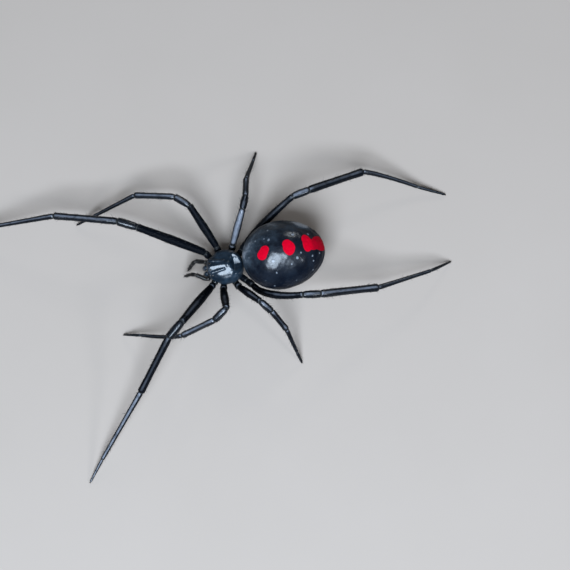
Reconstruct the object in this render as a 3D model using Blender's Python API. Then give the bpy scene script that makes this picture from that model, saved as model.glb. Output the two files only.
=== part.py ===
"""Black widow spider at life size, standing with its long legs spread.

The head is towards -X, the spider's left side towards -Y, and its feet stand on z = 0.
Sizes are in millimetres, measured from under the middle of the head shield, and become
metres as each mesh is made. The whole spider then stands with the middle of its box
over the origin.
"""

import math

import bmesh
import bpy
from mathutils import Matrix, Vector

MM = 0.001
WELD = 1e-7
GAP = 0.10
SHARP_ANGLE = math.radians(50)
SIDES = {"left": -1, "right": 1}

# Head shield
SHIELD_HALF_LENGTH = 1.50
SHIELD_HALF_WIDTH = 1.42
SHIELD_SQUARENESS = 2.3
SHIELD_MARGIN_Z = 2.24
SHIELD_UNDERSIDE = 0.06
SHIELD_DOME = 0.98
SHIELD_FULLNESS = 2.5
SHIELD_FRONT_FULLNESS = 4.9
NECK_PINCH = 0.10
NECK_PINCH_AT = math.radians(50)
NECK_PINCH_SPAN = math.radians(17)
# Brow, crest, middle, pit behind the head, rear knobs: height, place along the shield,
# distance from its midline, half length, half width and how square the hill is across
SHIELD_HILLS = (
    (0.485, -1.70, 0.00, 0.55, 0.70, 6),
    (0.12, -0.31, 0.00, 0.82, 0.22, 2),
    (0.12, 0.33, 0.00, 0.40, 0.50, 2),
    (-0.223, 0.83, 0.00, 0.262, 0.40, 2),
    (0.096, 1.06, 0.213, 0.25, 0.25, 2),
)
# Grooves on both sides and the ridge behind them: depth (below 0 where it stands up), half
# width, start and end
SHIELD_GROOVES = (
    (0.055, 0.197, (-0.09, 0.12), (-1.07, 0.25)),
    (0.126, 0.108, (0.596, 0.75), (-0.395, 1.06)),
    (0.163, 0.09, (0.62, 0.00), (0.62, 0.41)),
    (-0.392, 0.295, (0.744, 0.881), (1.255, 0.529)),
)

# Eyes: angle off the midline, height angle and radius of each pair
EYE_PAIRS = {
    "front_middle": (9, 20, 0.085),
    "front_side": (26, 19, 0.080),
    "rear_middle": (12, 36, 0.085),
    "rear_side": (33, 31, 0.080),
}
EYE_GAP = 0.03
# Angle over which the slope of the shield under an eye is read
EYE_SLOPE_STEP = 0.03

# Chest plate, lip and jaw plates under the shield
CHEST_CENTRE = (0.05, 0.0, 1.53)
CHEST_HALF_SIZES = (1.00, 0.72, 0.34)
CHEST_TAPER = 0.22
LIP_CENTRE = (-0.93, 0.0, 1.50)
LIP_HALF_SIZES = (0.22, 0.24, 0.20)
JAW_PLATE_CENTRE = (-1.00, 0.27, 1.52)
JAW_PLATE_HALF_SIZES = (0.34, 0.15, 0.21)
JAW_PLATE_TOE_IN = math.radians(16)

# Chelicerae, each with its fang folded inwards
CHELICERA_PATH = (
    (-1.46, 0.24, 2.10),
    (-1.50, 0.25, 2.02),
    (-1.58, 0.26, 1.80),
    (-1.63, 0.25, 1.50),
    (-1.64, 0.23, 1.22),
    (-1.63, 0.21, 1.12),
    (-1.60, 0.19, 1.02),
    (-1.55, 0.14, 0.92),
    (-1.48, 0.09, 0.87),
)
CHELICERA_RADII = (0.10, 0.16, 0.20, 0.19, 0.16, 0.09, 0.06, 0.045, 0.02)

# Pedipalps: their joints, from the root to the tip
PALP_JOINTS = {
    "left": (
        (-1.27, -0.53, 1.83),
        (-1.56, -0.74, 2.00),
        (-2.42, -0.24, 2.16),
        (-2.80, -0.10, 1.86),
        (-3.36, 0.00, 1.02),
    ),
    "right": (
        (-1.27, 0.53, 1.83),
        (-1.56, 0.72, 2.00),
        (-2.30, 0.86, 2.16),
        (-2.60, 0.70, 1.80),
        (-3.00, 0.42, 0.92),
    ),
}
PALP_RADII = (0.19, 0.24, 0.25, 0.24, 0.13)
PALP_WAIST = 0.80
PALP_BULGE_AT = (0.30, 0.70)

# Abdomen, stalk and spinnerets
ABDOMEN_CENTRE = (4.75, 0.0, 3.62)
ABDOMEN_HALF_SIZES = (3.33, 2.74, 2.74)
ABDOMEN_TURN = math.radians(2)
ABDOMEN_EGG = 0.07
ABDOMEN_FLAT_BELLY = 0.06
STALK_PATH = ((1.20, 1.80), (1.36, 1.86), (1.52, 1.97), (1.68, 2.10))
STALK_RADII = (0.20, 0.25, 0.24, 0.20)
SPINNERETS_BELOW = math.radians(50)
SPINNERET_BASE = (0.46, 0.36, 0.22)
SPINNERETS = (
    # angle round the base, distance from its middle, length, root radius
    (35, 0.21, 0.50, 0.135),
    (145, 0.21, 0.44, 0.130),
    (-145, 0.21, 0.44, 0.130),
    (-35, 0.21, 0.50, 0.135),
    (90, 0.07, 0.34, 0.075),
    (-90, 0.07, 0.34, 0.075),
)
SPINNERET_SPLAY = math.radians(14)
SPINNERET_TIP_SHARE = 0.45
# Anal lobe: distance above the middle of the base, radius, length and share of the radius at its tip
ANAL_LOBE = (-0.36, 0.20, 0.16, 0.5)

# Legs, numbered from the front
SEGMENTS = ("femur", "patella", "tibia", "metatarsus", "tarsus")
LEG_LENGTHS = {
    1: (5.85, 1.65, 5.20, 6.40, 2.15),
    2: (3.97, 1.40, 3.36, 3.95, 1.62),
    3: (3.28, 1.27, 2.15, 2.40, 1.15),
    4: (5.44, 1.46, 5.14, 4.84, 2.40),
}
LEG_RADII = {
    1: (0.37, 0.35, 0.30, 0.25, 0.21),
    2: (0.33, 0.31, 0.27, 0.25, 0.21),
    3: (0.31, 0.30, 0.26, 0.25, 0.21),
    4: (0.31, 0.32, 0.32, 0.25, 0.21),
}
COXA_ROOTS = {1: (-0.72, 0.66), 2: (-0.16, 0.86), 3: (0.42, 0.86), 4: (1.00, 0.70)}
HIPS = {1: (-1.40, 1.46), 2: (-0.42, 1.80), 3: (0.90, 1.78), 4: (2.00, 1.74)}
COXA_ROOT_Z = 1.60
COXA_BEND_Z = 1.70
COXA_BEND_AT = 0.60
HIP_Z = 1.98
COXA_RADIUS = 0.27
TROCHANTER_RADIUS = 0.29
# Coxa outline: place from root to bend and share of the radius, and the trochanter's place from bend to hip
COXA_PROFILE = ((0.0, 0.75), (0.12, 0.98), (0.5, 1.0), (1.0, 1.04))
TROCHANTER_AT = 0.70
FOOT_RADIUS = 0.12
FOOT_STUB = 0.12

# Bow of a segment away from the body and upwards, greatest at a share of its length
FEMUR_BOW = (0.0, 0.12)
TUCKED_FEMUR_BOWS = {("left", 4): (0.44, -0.15), ("right", 4): (0.16, -0.15)}
TIBIA_BOW = (0.0, 0.05)
METATARSUS_BOWS = {("left", 2): (-0.13, 0.0), ("right", 4): (0.12, 0.0)}
BOW_PEAK = 0.40

# Pose: heading and slope in degrees of each segment; a tarsus slopes down to the floor
LEG_POSES = {
    ("left", 1): ((-130, 46), (-141, -20), (-129, -28), (-131, -22), (-128, None)),
    ("left", 2): ((-90, 58), (-147, -25), (-170, -35), (165, -30), (165, None)),
    ("left", 3): ((-52, 46), (-47, -25), (-55, -37), (-71, -43), (-71, None)),
    ("left", 4): ((-29, 39), (-3, -19), (2, -23), (12, -17), (22, None)),
    ("right", 1): ((152, 11), (155, 3), (165, -5), (177, -17), (179, None)),
    ("right", 2): ((115, 12), (140, 0), (166, -12), (-166, -20), (-166, None)),
    ("right", 3): ((63, 38), (70, -21), (80, -36), (65, -39), (66, None)),
    ("right", 4): ((33, 24), (15, -10), (15, -21), (-20, -19), (-23, None)),
}

# Outline of a segment: place along it and share of its widest radius
PROFILES = {
    "femur": ((0.12, 0.86), (0.30, 0.96), (0.48, 1.00), (0.72, 0.90), (0.92, 0.84)),
    "patella": ((0.50, 1.00),),
    "tibia": ((0.12, 1.00), (0.45, 0.95), (0.75, 0.93), (0.93, 1.00)),
    "metatarsus": ((0.10, 1.00), (0.50, 0.90), (0.95, 0.86)),
    "tarsus": ((0.25, 1.00), (0.70, 0.84)),
}
# Rounded end of a segment: distance from the end, as a share of the radius, and share of the radius there
ROUNDING = ((0.0, 0.48), (0.28, 0.84), (0.75, 0.98))
# Least distance from a rounded end to the next change of outline, as a share of the radius
STATION_SPACING = 0.5

# Colours, roughness and metallic value
BLACK_SHELL = ((0.006, 0.008, 0.014), 0.22, 0.0)
BLACK_LEG = ((0.007, 0.010, 0.014), 0.28, 0.0)
DARK_BROWN = ((0.022, 0.016, 0.014), 0.40, 0.0)
BLACK_ABDOMEN = ((0.007, 0.009, 0.014), 0.34, 0.0)
EYE_BLACK = ((0.010, 0.010, 0.012), 0.08, 0.0)


def heading_slope(heading, slope):
    """Unit vector that points along a heading and a slope, both in radians."""
    level = math.cos(slope)
    return Vector((level * math.cos(heading), level * math.sin(heading), math.sin(slope)))


def finish(obj, looks):
    """Gives an object a material of its own."""
    colour, roughness, metallic = looks
    material = bpy.data.materials.new(f"{obj.name}_finish")
    material.use_nodes = True
    shader = material.node_tree.nodes["Principled BSDF"]
    shader.inputs["Base Color"].default_value = (*colour, 1.0)
    shader.inputs["Roughness"].default_value = roughness
    shader.inputs["Metallic"].default_value = metallic
    obj.data.materials.append(material)


def add_object(name, data, collection, looks=None):
    obj = bpy.data.objects.new(name, data)
    collection.objects.link(obj)
    if looks:
        finish(obj, looks)
    return obj


def mesh_from(bm, name):
    """Turns a bmesh in millimetres into a smooth mesh in metres."""
    bmesh.ops.scale(bm, vec=(MM, MM, MM), verts=bm.verts)
    bmesh.ops.recalc_face_normals(bm, faces=bm.faces)
    mesh = bpy.data.meshes.new(name)
    bm.to_mesh(mesh)
    bm.free()
    mesh.shade_smooth()
    return mesh


def shaped_sphere(name, shape, columns, rows, turn=None):
    """A sphere whose every point is moved by a function of its place on the unit sphere."""
    bm = bmesh.new()
    bmesh.ops.create_uvsphere(bm, u_segments=columns, v_segments=rows, radius=1.0)
    if turn:
        bmesh.ops.rotate(bm, matrix=turn, verts=bm.verts)
    for vertex in bm.verts:
        vertex.co = shape(vertex.co.normalized())
    return mesh_from(bm, name)


def tube(name, points, radii, collection, looks=None, sides=2):
    """A closed tube through points in millimetres, with a radius at each."""
    curve = bpy.data.curves.new(name, "CURVE")
    curve.dimensions = "3D"
    curve.bevel_depth = MM
    curve.bevel_resolution = sides
    curve.use_fill_caps = True
    spline = curve.splines.new("POLY")
    spline.points.add(len(points) - 1)
    for target, point, radius in zip(spline.points, points, radii):
        target.co = (*(Vector(point) * MM), 1.0)
        target.radius = radius
    spline.use_smooth = True
    return add_object(name, curve, collection, looks)


def joined(name, pieces, collection, looks):
    """One closed body from overlapping mesh objects, which are then removed."""
    group = bpy.data.collections.new(f"{name}_pieces")
    bpy.context.scene.collection.children.link(group)
    first, *others = pieces
    for piece in others:
        group.objects.link(piece)
    union = first.modifiers.new("union", "BOOLEAN")
    union.operation = "UNION"
    union.operand_type = "COLLECTION"
    union.collection = group
    union.solver = "EXACT"
    bpy.context.view_layer.update()
    graph = bpy.context.evaluated_depsgraph_get()
    mesh = bpy.data.meshes.new_from_object(first.evaluated_get(graph))
    mesh.name = name
    for piece in pieces:
        bpy.data.objects.remove(piece)
    bpy.data.collections.remove(group)
    keep_largest(mesh)
    mesh.shade_smooth()
    mesh.set_sharp_from_angle(angle=SHARP_ANGLE)
    return add_object(name, mesh, collection, looks)


def keep_largest(mesh):
    """Leaves only the largest closed surface of a mesh."""
    bm = bmesh.new()
    bm.from_mesh(mesh)
    bmesh.ops.remove_doubles(bm, verts=bm.verts, dist=WELD)
    unseen = set(bm.verts)
    shells = []
    while unseen:
        shell = set()
        front = {unseen.pop()}
        while front:
            shell |= front
            near = {edge.other_vert(vertex) for vertex in front for edge in vertex.link_edges}
            front = near - shell
        unseen -= shell
        shells.append(shell)
    largest = max(shells, key=len)
    loose = [vertex for vertex in bm.verts if vertex not in largest]
    bmesh.ops.delete(bm, geom=loose, context="VERTS")
    bm.to_mesh(mesh)
    bm.free()


# Head shield

def shield_outline(angle):
    """Distance from the middle to the margin, at an angle off straight ahead."""
    length = abs(math.cos(angle)) / SHIELD_HALF_LENGTH
    width = abs(math.sin(angle)) / SHIELD_HALF_WIDTH
    oval = (length**SHIELD_SQUARENESS + width**SHIELD_SQUARENESS) ** (-1 / SHIELD_SQUARENESS)
    pinch = math.exp(-(((abs(angle) - NECK_PINCH_AT) / NECK_PINCH_SPAN) ** 2))
    return oval * (1 - NECK_PINCH * pinch)


def hill_share(x, y, middle, aside, half_length, half_width, squareness):
    """1 on top of a smooth hill that lies on both sides, fading over its half sizes."""
    across = abs(abs(y) - aside) / half_width
    return math.exp(-(((x - middle) / half_length) ** 2) - across**squareness)


def groove_share(x, y, half_width, start, end):
    """1 along the middle of a groove that lies on both sides, fading beside it."""
    start, end = Vector(start), Vector(end)
    along = end - start
    place = Vector((x, abs(y))) - start
    share = min(1.0, max(0.0, place.dot(along) / along.length_squared))
    distance = (place - along * share).length
    return math.exp(-((distance / half_width) ** 2))


def shield_point(unit):
    """Point of the head shield for a point of the unit sphere."""
    across = math.hypot(unit.x, unit.y)
    reach = shield_outline(math.atan2(unit.y, -unit.x)) * across
    heading = math.atan2(unit.y, unit.x)
    x, y = reach * math.cos(heading), reach * math.sin(heading)
    if unit.z < 0:
        return Vector((x, y, SHIELD_MARGIN_Z + SHIELD_UNDERSIDE * unit.z))
    height = SHIELD_DOME
    height += sum(hill * hill_share(x, y, *place) for hill, *place in SHIELD_HILLS)
    height -= sum(depth * groove_share(x, y, *place) for depth, *place in SHIELD_GROOVES)
    ahead = max(0.0, -math.cos(heading)) ** 2
    power = SHIELD_FULLNESS + (SHIELD_FRONT_FULLNESS - SHIELD_FULLNESS) * ahead
    fullness = max(0.0, 1 - across**power) ** 0.5
    return Vector((x, y, SHIELD_MARGIN_Z + fullness * height))


def build_shield(collection):
    mesh = shaped_sphere("carapace", shield_point, columns=48, rows=28)
    return add_object("carapace", mesh, collection, BLACK_SHELL)


def build_eyes(collection):
    """Eight domes that sit just clear of the shield, in two rows of four."""
    for pair, (off_ahead, height, radius) in EYE_PAIRS.items():
        for side, sign in SIDES.items():
            heading = math.pi - sign * math.radians(off_ahead)
            unit = heading_slope(heading, math.radians(height))
            root = shield_point(unit)
            along = shield_point(heading_slope(heading + EYE_SLOPE_STEP, math.radians(height))) - root
            up = shield_point(heading_slope(heading, math.radians(height) + EYE_SLOPE_STEP)) - root
            out = up.cross(along).normalized()
            if out.x > 0:
                out.negate()
            bm = bmesh.new()
            bmesh.ops.create_uvsphere(bm, u_segments=10, v_segments=8, radius=radius)
            everything = bm.verts[:] + bm.edges[:] + bm.faces[:]
            bmesh.ops.bisect_plane(bm, geom=everything, dist=WELD, plane_no=(0, 0, 1), clear_inner=True)
            rim = [edge for edge in bm.edges if edge.is_boundary]
            bmesh.ops.holes_fill(bm, edges=rim, sides=0)
            bmesh.ops.rotate(bm, matrix=out.to_track_quat("Z", "Y").to_matrix(), verts=bm.verts)
            bmesh.ops.translate(bm, vec=root + out * EYE_GAP, verts=bm.verts)
            name = f"eye_{pair}_{side}"
            add_object(name, mesh_from(bm, name), collection, EYE_BLACK)


# Under the shield

def ellipsoid(name, centre, half_sizes, collection, turn=0.0, columns=16, rows=10):
    def shape(unit):
        point = Vector(unit[axis] * half_sizes[axis] for axis in range(3))
        return Matrix.Rotation(turn, 3, "Z") @ point + Vector(centre)

    return add_object(name, shaped_sphere(name, shape, columns, rows), collection)


def chest_point(unit):
    """Point of the heart-shaped chest plate, which narrows towards the rear."""
    x, y, z = (unit[axis] * CHEST_HALF_SIZES[axis] for axis in range(3))
    narrowing = 1 - CHEST_TAPER * max(0.0, unit.x)
    return Vector((x, y * narrowing, z)) + Vector(CHEST_CENTRE)


def build_chest(collection):
    plate = add_object("plate", shaped_sphere("plate", chest_point, columns=24, rows=12), collection)
    lip = ellipsoid("lip", LIP_CENTRE, LIP_HALF_SIZES, collection)
    jaws = []
    for side, sign in SIDES.items():
        x, y, z = JAW_PLATE_CENTRE
        turn = sign * JAW_PLATE_TOE_IN
        jaws.append(ellipsoid(f"jaw_{side}", (x, sign * y, z), JAW_PLATE_HALF_SIZES, collection, turn))
    joined("sternum", [plate, lip, *jaws], collection, BLACK_SHELL)


def build_mouthparts(collection):
    for side, sign in SIDES.items():
        path = [(x, sign * y, z) for x, y, z in CHELICERA_PATH]
        tube(f"chelicera_{side}", path, CHELICERA_RADII, collection, BLACK_SHELL, sides=3)
        path, radii = palp_path(PALP_JOINTS[side])
        tube(f"pedipalp_{side}", path, radii, collection, DARK_BROWN)


def palp_path(joints):
    """Path and radii of a pedipalp, a little thinner at each of its joints."""
    path, radii = [], []
    for index, (start, end) in enumerate(zip(joints, joints[1:])):
        start, end = Vector(start), Vector(end)
        first, last = PALP_RADII[index], PALP_RADII[index + 1]
        path.append(start)
        radii.append(first * PALP_WAIST)
        for share in PALP_BULGE_AT:
            path.append(start.lerp(end, share))
            radii.append(first + (last - first) * share)
    path.append(Vector(joints[-1]))
    radii.append(PALP_RADII[-1] * PALP_WAIST)
    return path, radii


# Abdomen

def abdomen_point(unit):
    """Point of the egg-shaped abdomen, widest a little before its middle."""
    x, y, z = (unit[axis] * ABDOMEN_HALF_SIZES[axis] for axis in range(3))
    egg = 1 - ABDOMEN_EGG * unit.x
    belly = 1 - ABDOMEN_FLAT_BELLY * max(0.0, -unit.z)
    point = Vector((x, y * egg, z * egg * belly))
    return Matrix.Rotation(ABDOMEN_TURN, 3, "Z") @ point + Vector(ABDOMEN_CENTRE)


def build_abdomen(collection):
    poles_ahead = Matrix.Rotation(math.pi / 2, 3, "Y")
    mesh = shaped_sphere("abdomen", abdomen_point, columns=40, rows=24, turn=poles_ahead)
    add_object("abdomen", mesh, collection, BLACK_ABDOMEN)
    stalk = [(x, 0.0, z) for x, z in STALK_PATH]
    tube("pedicel", stalk, STALK_RADII, collection, DARK_BROWN)


def cone(name, root, direction, length, radius, tip_share, collection, sides=12):
    """A cone in millimetres that stands on its root and points along a direction."""
    bm = bmesh.new()
    bmesh.ops.create_cone(
        bm,
        cap_ends=True,
        segments=sides,
        radius1=radius,
        radius2=radius * tip_share,
        depth=length,
    )
    bmesh.ops.translate(bm, vec=(0, 0, length / 2), verts=bm.verts)
    bmesh.ops.rotate(bm, matrix=direction.to_track_quat("Z", "Y").to_matrix(), verts=bm.verts)
    bmesh.ops.translate(bm, vec=root, verts=bm.verts)
    return add_object(name, mesh_from(bm, name), collection)


def build_spinnerets(collection):
    """Six short cones and the anal lobe on one round base, low on the abdomen's rear."""
    unit = heading_slope(0.0, -SPINNERETS_BELOW)
    root = abdomen_point(unit)
    sizes = Vector(ABDOMEN_HALF_SIZES)
    out = Vector((unit.x / sizes.x, 0.0, unit.z / sizes.z)).normalized()
    across = Vector((0.0, 1.0, 0.0))
    down = out.cross(across).normalized()
    wide, narrow, height = SPINNERET_BASE
    start = root + out * GAP
    pieces = [cone("base", start, out, height, wide, narrow / wide, collection, sides=20)]
    top = start + out * (height / 2)
    for number, (angle, distance, length, radius) in enumerate(SPINNERETS):
        angle = math.radians(angle)
        aside = across * math.sin(angle) + down * math.cos(angle)
        lean = (out + aside * math.tan(SPINNERET_SPLAY)).normalized()
        place = top + aside * distance
        pieces.append(cone(f"cone_{number}", place, lean, length, radius, SPINNERET_TIP_SHARE, collection))
    offset, radius, length, tip_share = ANAL_LOBE
    pieces.append(cone("lobe", top + down * offset, out, length, radius, tip_share, collection))
    joined("spinnerets", pieces, collection, DARK_BROWN)


# Legs

def end_trim(radius, half_bend):
    """Distance from a joint at which a rounded end keeps clear of the next segment."""
    trims = []
    for distance, share in ROUNDING:
        needed = (GAP / 2 + radius * share * math.sin(half_bend)) / math.cos(half_bend)
        trims.append(needed - radius * distance)
    return max(trims)


def leg_joints(side, number):
    """The hip and the far end of each segment, the last at the foot."""
    x, y = HIPS[number]
    joints = [Vector((x, SIDES[side] * y, HIP_Z))]
    for (heading, slope), length in zip(LEG_POSES[side, number], LEG_LENGTHS[number]):
        if slope is None:
            slope = -math.asin((joints[-1].z - FOOT_STUB) / length)
        else:
            slope = math.radians(slope)
        joints.append(joints[-1] + heading_slope(math.radians(heading), slope) * length)
    return joints


def bowed(start, end, share, bow):
    """Point at a share of the way from start to end, on an arc that bows by a vector."""
    arc = share ** (math.log(0.5) / math.log(BOW_PEAK))
    return start.lerp(end, share) + bow * (4 * arc * (1 - arc))


def bow_of(segment, side, number, direction):
    up = Vector((0.0, 0.0, 1.0))
    if segment == "femur":
        away, rise = TUCKED_FEMUR_BOWS.get((side, number), FEMUR_BOW)
    elif segment == "tibia":
        away, rise = TIBIA_BOW
    elif segment == "metatarsus":
        away, rise = METATARSUS_BOWS.get((side, number), (0.0, 0.0))
    else:
        away, rise = 0.0, 0.0
    outward = up.cross(direction).normalized() * SIDES[side]
    return outward * away + up * rise


def segment_path(start, end, bow, radius, profile, bends):
    """Path and radii of one segment, rounded at both ends and clear of its neighbours."""
    length = (end - start).length
    near, far = (end_trim(radius, bend / 2) for bend in bends)
    stations = [(near + radius * distance, share) for distance, share in ROUNDING]
    ends = [(length - far - radius * distance, share) for distance, share in ROUNDING]
    first = stations[-1][0] + STATION_SPACING * radius
    last = ends[-1][0] - STATION_SPACING * radius
    stations += [(length * place, share) for place, share in profile if first < length * place < last]
    stations += reversed(ends)
    path = [bowed(start, end, place / length, bow) for place, share in stations]
    return path, [radius * share for place, share in stations]


def coxa_path(side, number, hip):
    """Path and radii of the coxa and trochanter, from the chest plate out to the hip."""
    x, y = COXA_ROOTS[number]
    root = Vector((x, SIDES[side] * y, COXA_ROOT_Z))
    bend = root.lerp(hip, COXA_BEND_AT)
    bend.z = COXA_BEND_Z
    path = [root.lerp(bend, place) for place, share in COXA_PROFILE]
    radii = [COXA_RADIUS * share for place, share in COXA_PROFILE]
    return [*path, bend.lerp(hip, TROCHANTER_AT)], [*radii, TROCHANTER_RADIUS]


def build_leg(side, number, collection):
    joints = leg_joints(side, number)
    steps = [end - start for start, end in zip(joints, joints[1:])]
    for index, segment in enumerate(SEGMENTS):
        start, end, step = joints[index], joints[index + 1], steps[index]
        radius = LEG_RADII[number][index]
        bow = bow_of(segment, side, number, step)
        near_bend = steps[index - 1].angle(step) if index else 0.0
        far_bend = step.angle(steps[index + 1]) if index + 1 < len(steps) else 0.0
        path, radii = segment_path(start, end, bow, radius, PROFILES[segment], (near_bend, far_bend))
        if segment == "femur":
            first_path, first_radii = coxa_path(side, number, start)
            skipped = len(ROUNDING)
            path = first_path + path[skipped:]
            radii = first_radii + radii[skipped:]
        if segment == "tarsus":
            skipped = len(ROUNDING)
            path = path[:-skipped] + [end, Vector((end.x, end.y, 0.0))]
            radii = radii[:-skipped] + [FOOT_RADIUS, FOOT_RADIUS]
        tube(f"leg{number}_{side}_{segment}", path, radii, collection, BLACK_LEG)


def stand_over_origin(collection, root):
    """Moves the spider so that the middle of its box is over the origin."""
    bpy.context.view_layer.update()
    graph = bpy.context.evaluated_depsgraph_get()
    xs, ys = [], []
    for obj in collection.objects:
        evaluated = obj.evaluated_get(graph)
        mesh = evaluated.to_mesh()
        xs += [vertex.co.x for vertex in mesh.vertices]
        ys += [vertex.co.y for vertex in mesh.vertices]
        evaluated.to_mesh_clear()
    root.location = (-(min(xs) + max(xs)) / 2, -(min(ys) + max(ys)) / 2, 0.0)
    for obj in collection.objects:
        obj.parent = root


for old in list(bpy.data.objects):
    bpy.data.objects.remove(old)
spider = bpy.data.collections.new("black_widow_spider")
bpy.context.scene.collection.children.link(spider)

build_shield(spider)
build_eyes(spider)
build_chest(spider)
build_mouthparts(spider)
build_abdomen(spider)
build_spinnerets(spider)
for leg_side, leg_number in LEG_POSES:
    build_leg(leg_side, leg_number, spider)

standing_point = bpy.data.objects.new("standing_point", None)
bpy.context.scene.collection.objects.link(standing_point)
stand_over_origin(spider, standing_point)
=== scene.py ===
import math
from collections import namedtuple

import bmesh
import bpy
import numpy as np
from mathutils import Matrix, Vector, noise


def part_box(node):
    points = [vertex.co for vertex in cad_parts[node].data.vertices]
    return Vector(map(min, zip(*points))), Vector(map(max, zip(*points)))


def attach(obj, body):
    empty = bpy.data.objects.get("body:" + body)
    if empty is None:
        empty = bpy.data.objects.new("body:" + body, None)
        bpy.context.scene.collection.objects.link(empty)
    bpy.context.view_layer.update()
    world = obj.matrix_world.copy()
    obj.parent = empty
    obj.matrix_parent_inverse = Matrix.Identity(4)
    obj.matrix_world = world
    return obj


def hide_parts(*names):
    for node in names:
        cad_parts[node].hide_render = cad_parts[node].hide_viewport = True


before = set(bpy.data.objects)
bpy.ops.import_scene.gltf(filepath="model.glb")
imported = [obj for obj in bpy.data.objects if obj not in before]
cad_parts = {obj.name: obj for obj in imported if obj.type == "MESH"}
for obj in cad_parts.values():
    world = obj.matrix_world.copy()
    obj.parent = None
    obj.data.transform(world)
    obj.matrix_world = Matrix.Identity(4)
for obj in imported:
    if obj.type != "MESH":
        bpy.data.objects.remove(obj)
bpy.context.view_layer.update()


# Where the spider stands
# Lengths in this script are in millimetres, measured from the floor under the middle of the
# head shield, with the head towards -X and the spider's left side towards -Y. The shield's
# own box says where that point is, and each finished mesh is placed from it in metres.

MM = 0.001
shield_low, shield_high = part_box("carapace")
UNDER_SHIELD = Vector(((shield_low.x + shield_high.x) / 2, (shield_low.y + shield_high.y) / 2, 0.0))


def in_metres(point):
    """World position in metres of a point given in millimetres from under the shield."""
    return UNDER_SHIELD + Vector(point) * MM


# Floor, light and camera
# A plain pale floor under soft studio light. The camera looks down on the spider from 11
# degrees off the vertical, with the head to the left of the picture. The main light is a
# wide soft box, nearly overhead and towards the spider's left side.


def colour(red, green, blue):
    """Opaque colour from its linear red, green and blue."""
    return (red, green, blue, 1.0)


FLOOR_HALF_SIZE = 600
FLOOR_TINTS = (colour(0.47, 0.395, 0.335), colour(0.51, 0.43, 0.37))
FLOOR_GRAIN = 0.06

AIM = (4.587, -1.772, 0.0)
CAMERA_TURN = math.radians(-9)
CAMERA_HEIGHT = math.radians(79)
CAMERA_DISTANCE = 192.5
CAMERA_LENS = 150
SENSOR = 36
CAMERA_NEAR = 10
CAMERA_FAR = 10000

LIGHT_AIM = (4.0, 0.0, 4.0)
LIGHTS = (
    # name, direction to the light, distance, width, power in watts, colour
    ("key", (-0.166, -0.555, 0.818), 260, 135, 1.20, (0.69, 0.83, 1.0)),
    ("side", (0.58, -0.54, 0.61), 260, 45, 0.11, (0.80, 0.89, 1.0)),
    ("rear", (0.42, 0.78, 0.45), 260, 45, 0.06, (0.92, 0.97, 1.0)),
)
WORLD_TINT = colour(0.70, 0.76, 0.84)
WORLD_STRENGTH = 0.12


class Wire:
    """An output socket of a material's nodes, in which sums and products add Math nodes."""

    def __init__(self, tree, socket=None):
        self.tree = tree
        self.socket = socket

    def add(self, kind, inputs=None, output=0, **settings):
        """Adds a node: its settings first, then the values or wires of its sockets."""
        node = self.tree.nodes.new(kind)
        for name, value in settings.items():
            setattr(node, name, value)
        for name, value in (inputs or {}).items():
            if isinstance(value, Wire):
                self.tree.links.new(value.socket, node.inputs[name])
            else:
                node.inputs[name].default_value = value
        return Wire(self.tree, node.outputs[output])

    def math(self, operation, *values):
        """Adds a Math node that works on numbers or wires."""
        return self.add("ShaderNodeMath", dict(enumerate(values)), operation=operation)

    def __add__(self, other):
        return self.math("ADD", self, other)

    def __sub__(self, other):
        return self.math("SUBTRACT", self, other)

    def __rsub__(self, other):
        return self.math("SUBTRACT", other, self)

    def __mul__(self, other):
        return self.math("MULTIPLY", self, other)

    def __truediv__(self, other):
        return self.math("DIVIDE", self, other)

    def __pow__(self, other):
        return self.math("POWER", self, other)

    __radd__ = __add__
    __rmul__ = __mul__

    def within(self, low, high):
        """0 below low, 1 above high and smooth between them."""
        inputs = {"Value": self, "From Min": low, "From Max": high}
        return self.add("ShaderNodeMapRange", inputs, interpolation_type="SMOOTHSTEP")

    def blended(self, first, second):
        """Colour that is the first where this wire is 0 and the second where it is 1."""
        sockets = {0: self, 6: first, 7: second}
        return self.add("ShaderNodeMix", sockets, output=2, data_type="RGBA")


def finish_of(name, **uniform):
    """A new material with a Principled shader, the wire that starts its nodes, and its shader."""
    material = bpy.data.materials.new(name)
    material.use_nodes = True
    tree = material.node_tree
    shader = tree.nodes["Principled BSDF"]
    for socket, value in uniform.items():
        shader.inputs[socket.replace("_", " ").title().replace("Ior", "IOR")].default_value = value
    return material, Wire(tree), shader


def plug(wire, shader, socket):
    """Leads a wire into a socket of a material's shader."""
    wire.tree.links.new(wire.socket, shader.inputs[socket])


def body_place(start):
    """Wire of a surface point in millimetres from under the shield."""
    place = start.add("ShaderNodeTexCoord", output="Object")
    origin = tuple(-UNDER_SHIELD / MM)
    scale = (1 / MM,) * 3
    return place.add("ShaderNodeMapping", {"Vector": place, "Location": origin, "Scale": scale})


def grain(place, scale, detail=3.0, roughness=0.55):
    """Noise from 0 to 1 with about that many lumps in a millimetre."""
    inputs = {"Vector": place, "Scale": scale, "Detail": detail, "Roughness": roughness}
    return place.add("ShaderNodeTexNoise", inputs, output="Fac")


material, start, shader = finish_of("floor_paint", roughness=0.65)
mottling = grain(body_place(start), FLOOR_GRAIN, detail=6.0)
plug(mottling.blended(*FLOOR_TINTS), shader, "Base Color")
bm = bmesh.new()
bmesh.ops.create_grid(bm, x_segments=2, y_segments=2, size=FLOOR_HALF_SIZE * MM)
floor_mesh = bpy.data.meshes.new("floor")
bm.to_mesh(floor_mesh)
bm.free()
floor_mesh.materials.append(material)
floor = bpy.data.objects.new("floor", floor_mesh)
bpy.context.scene.collection.objects.link(floor)

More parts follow.
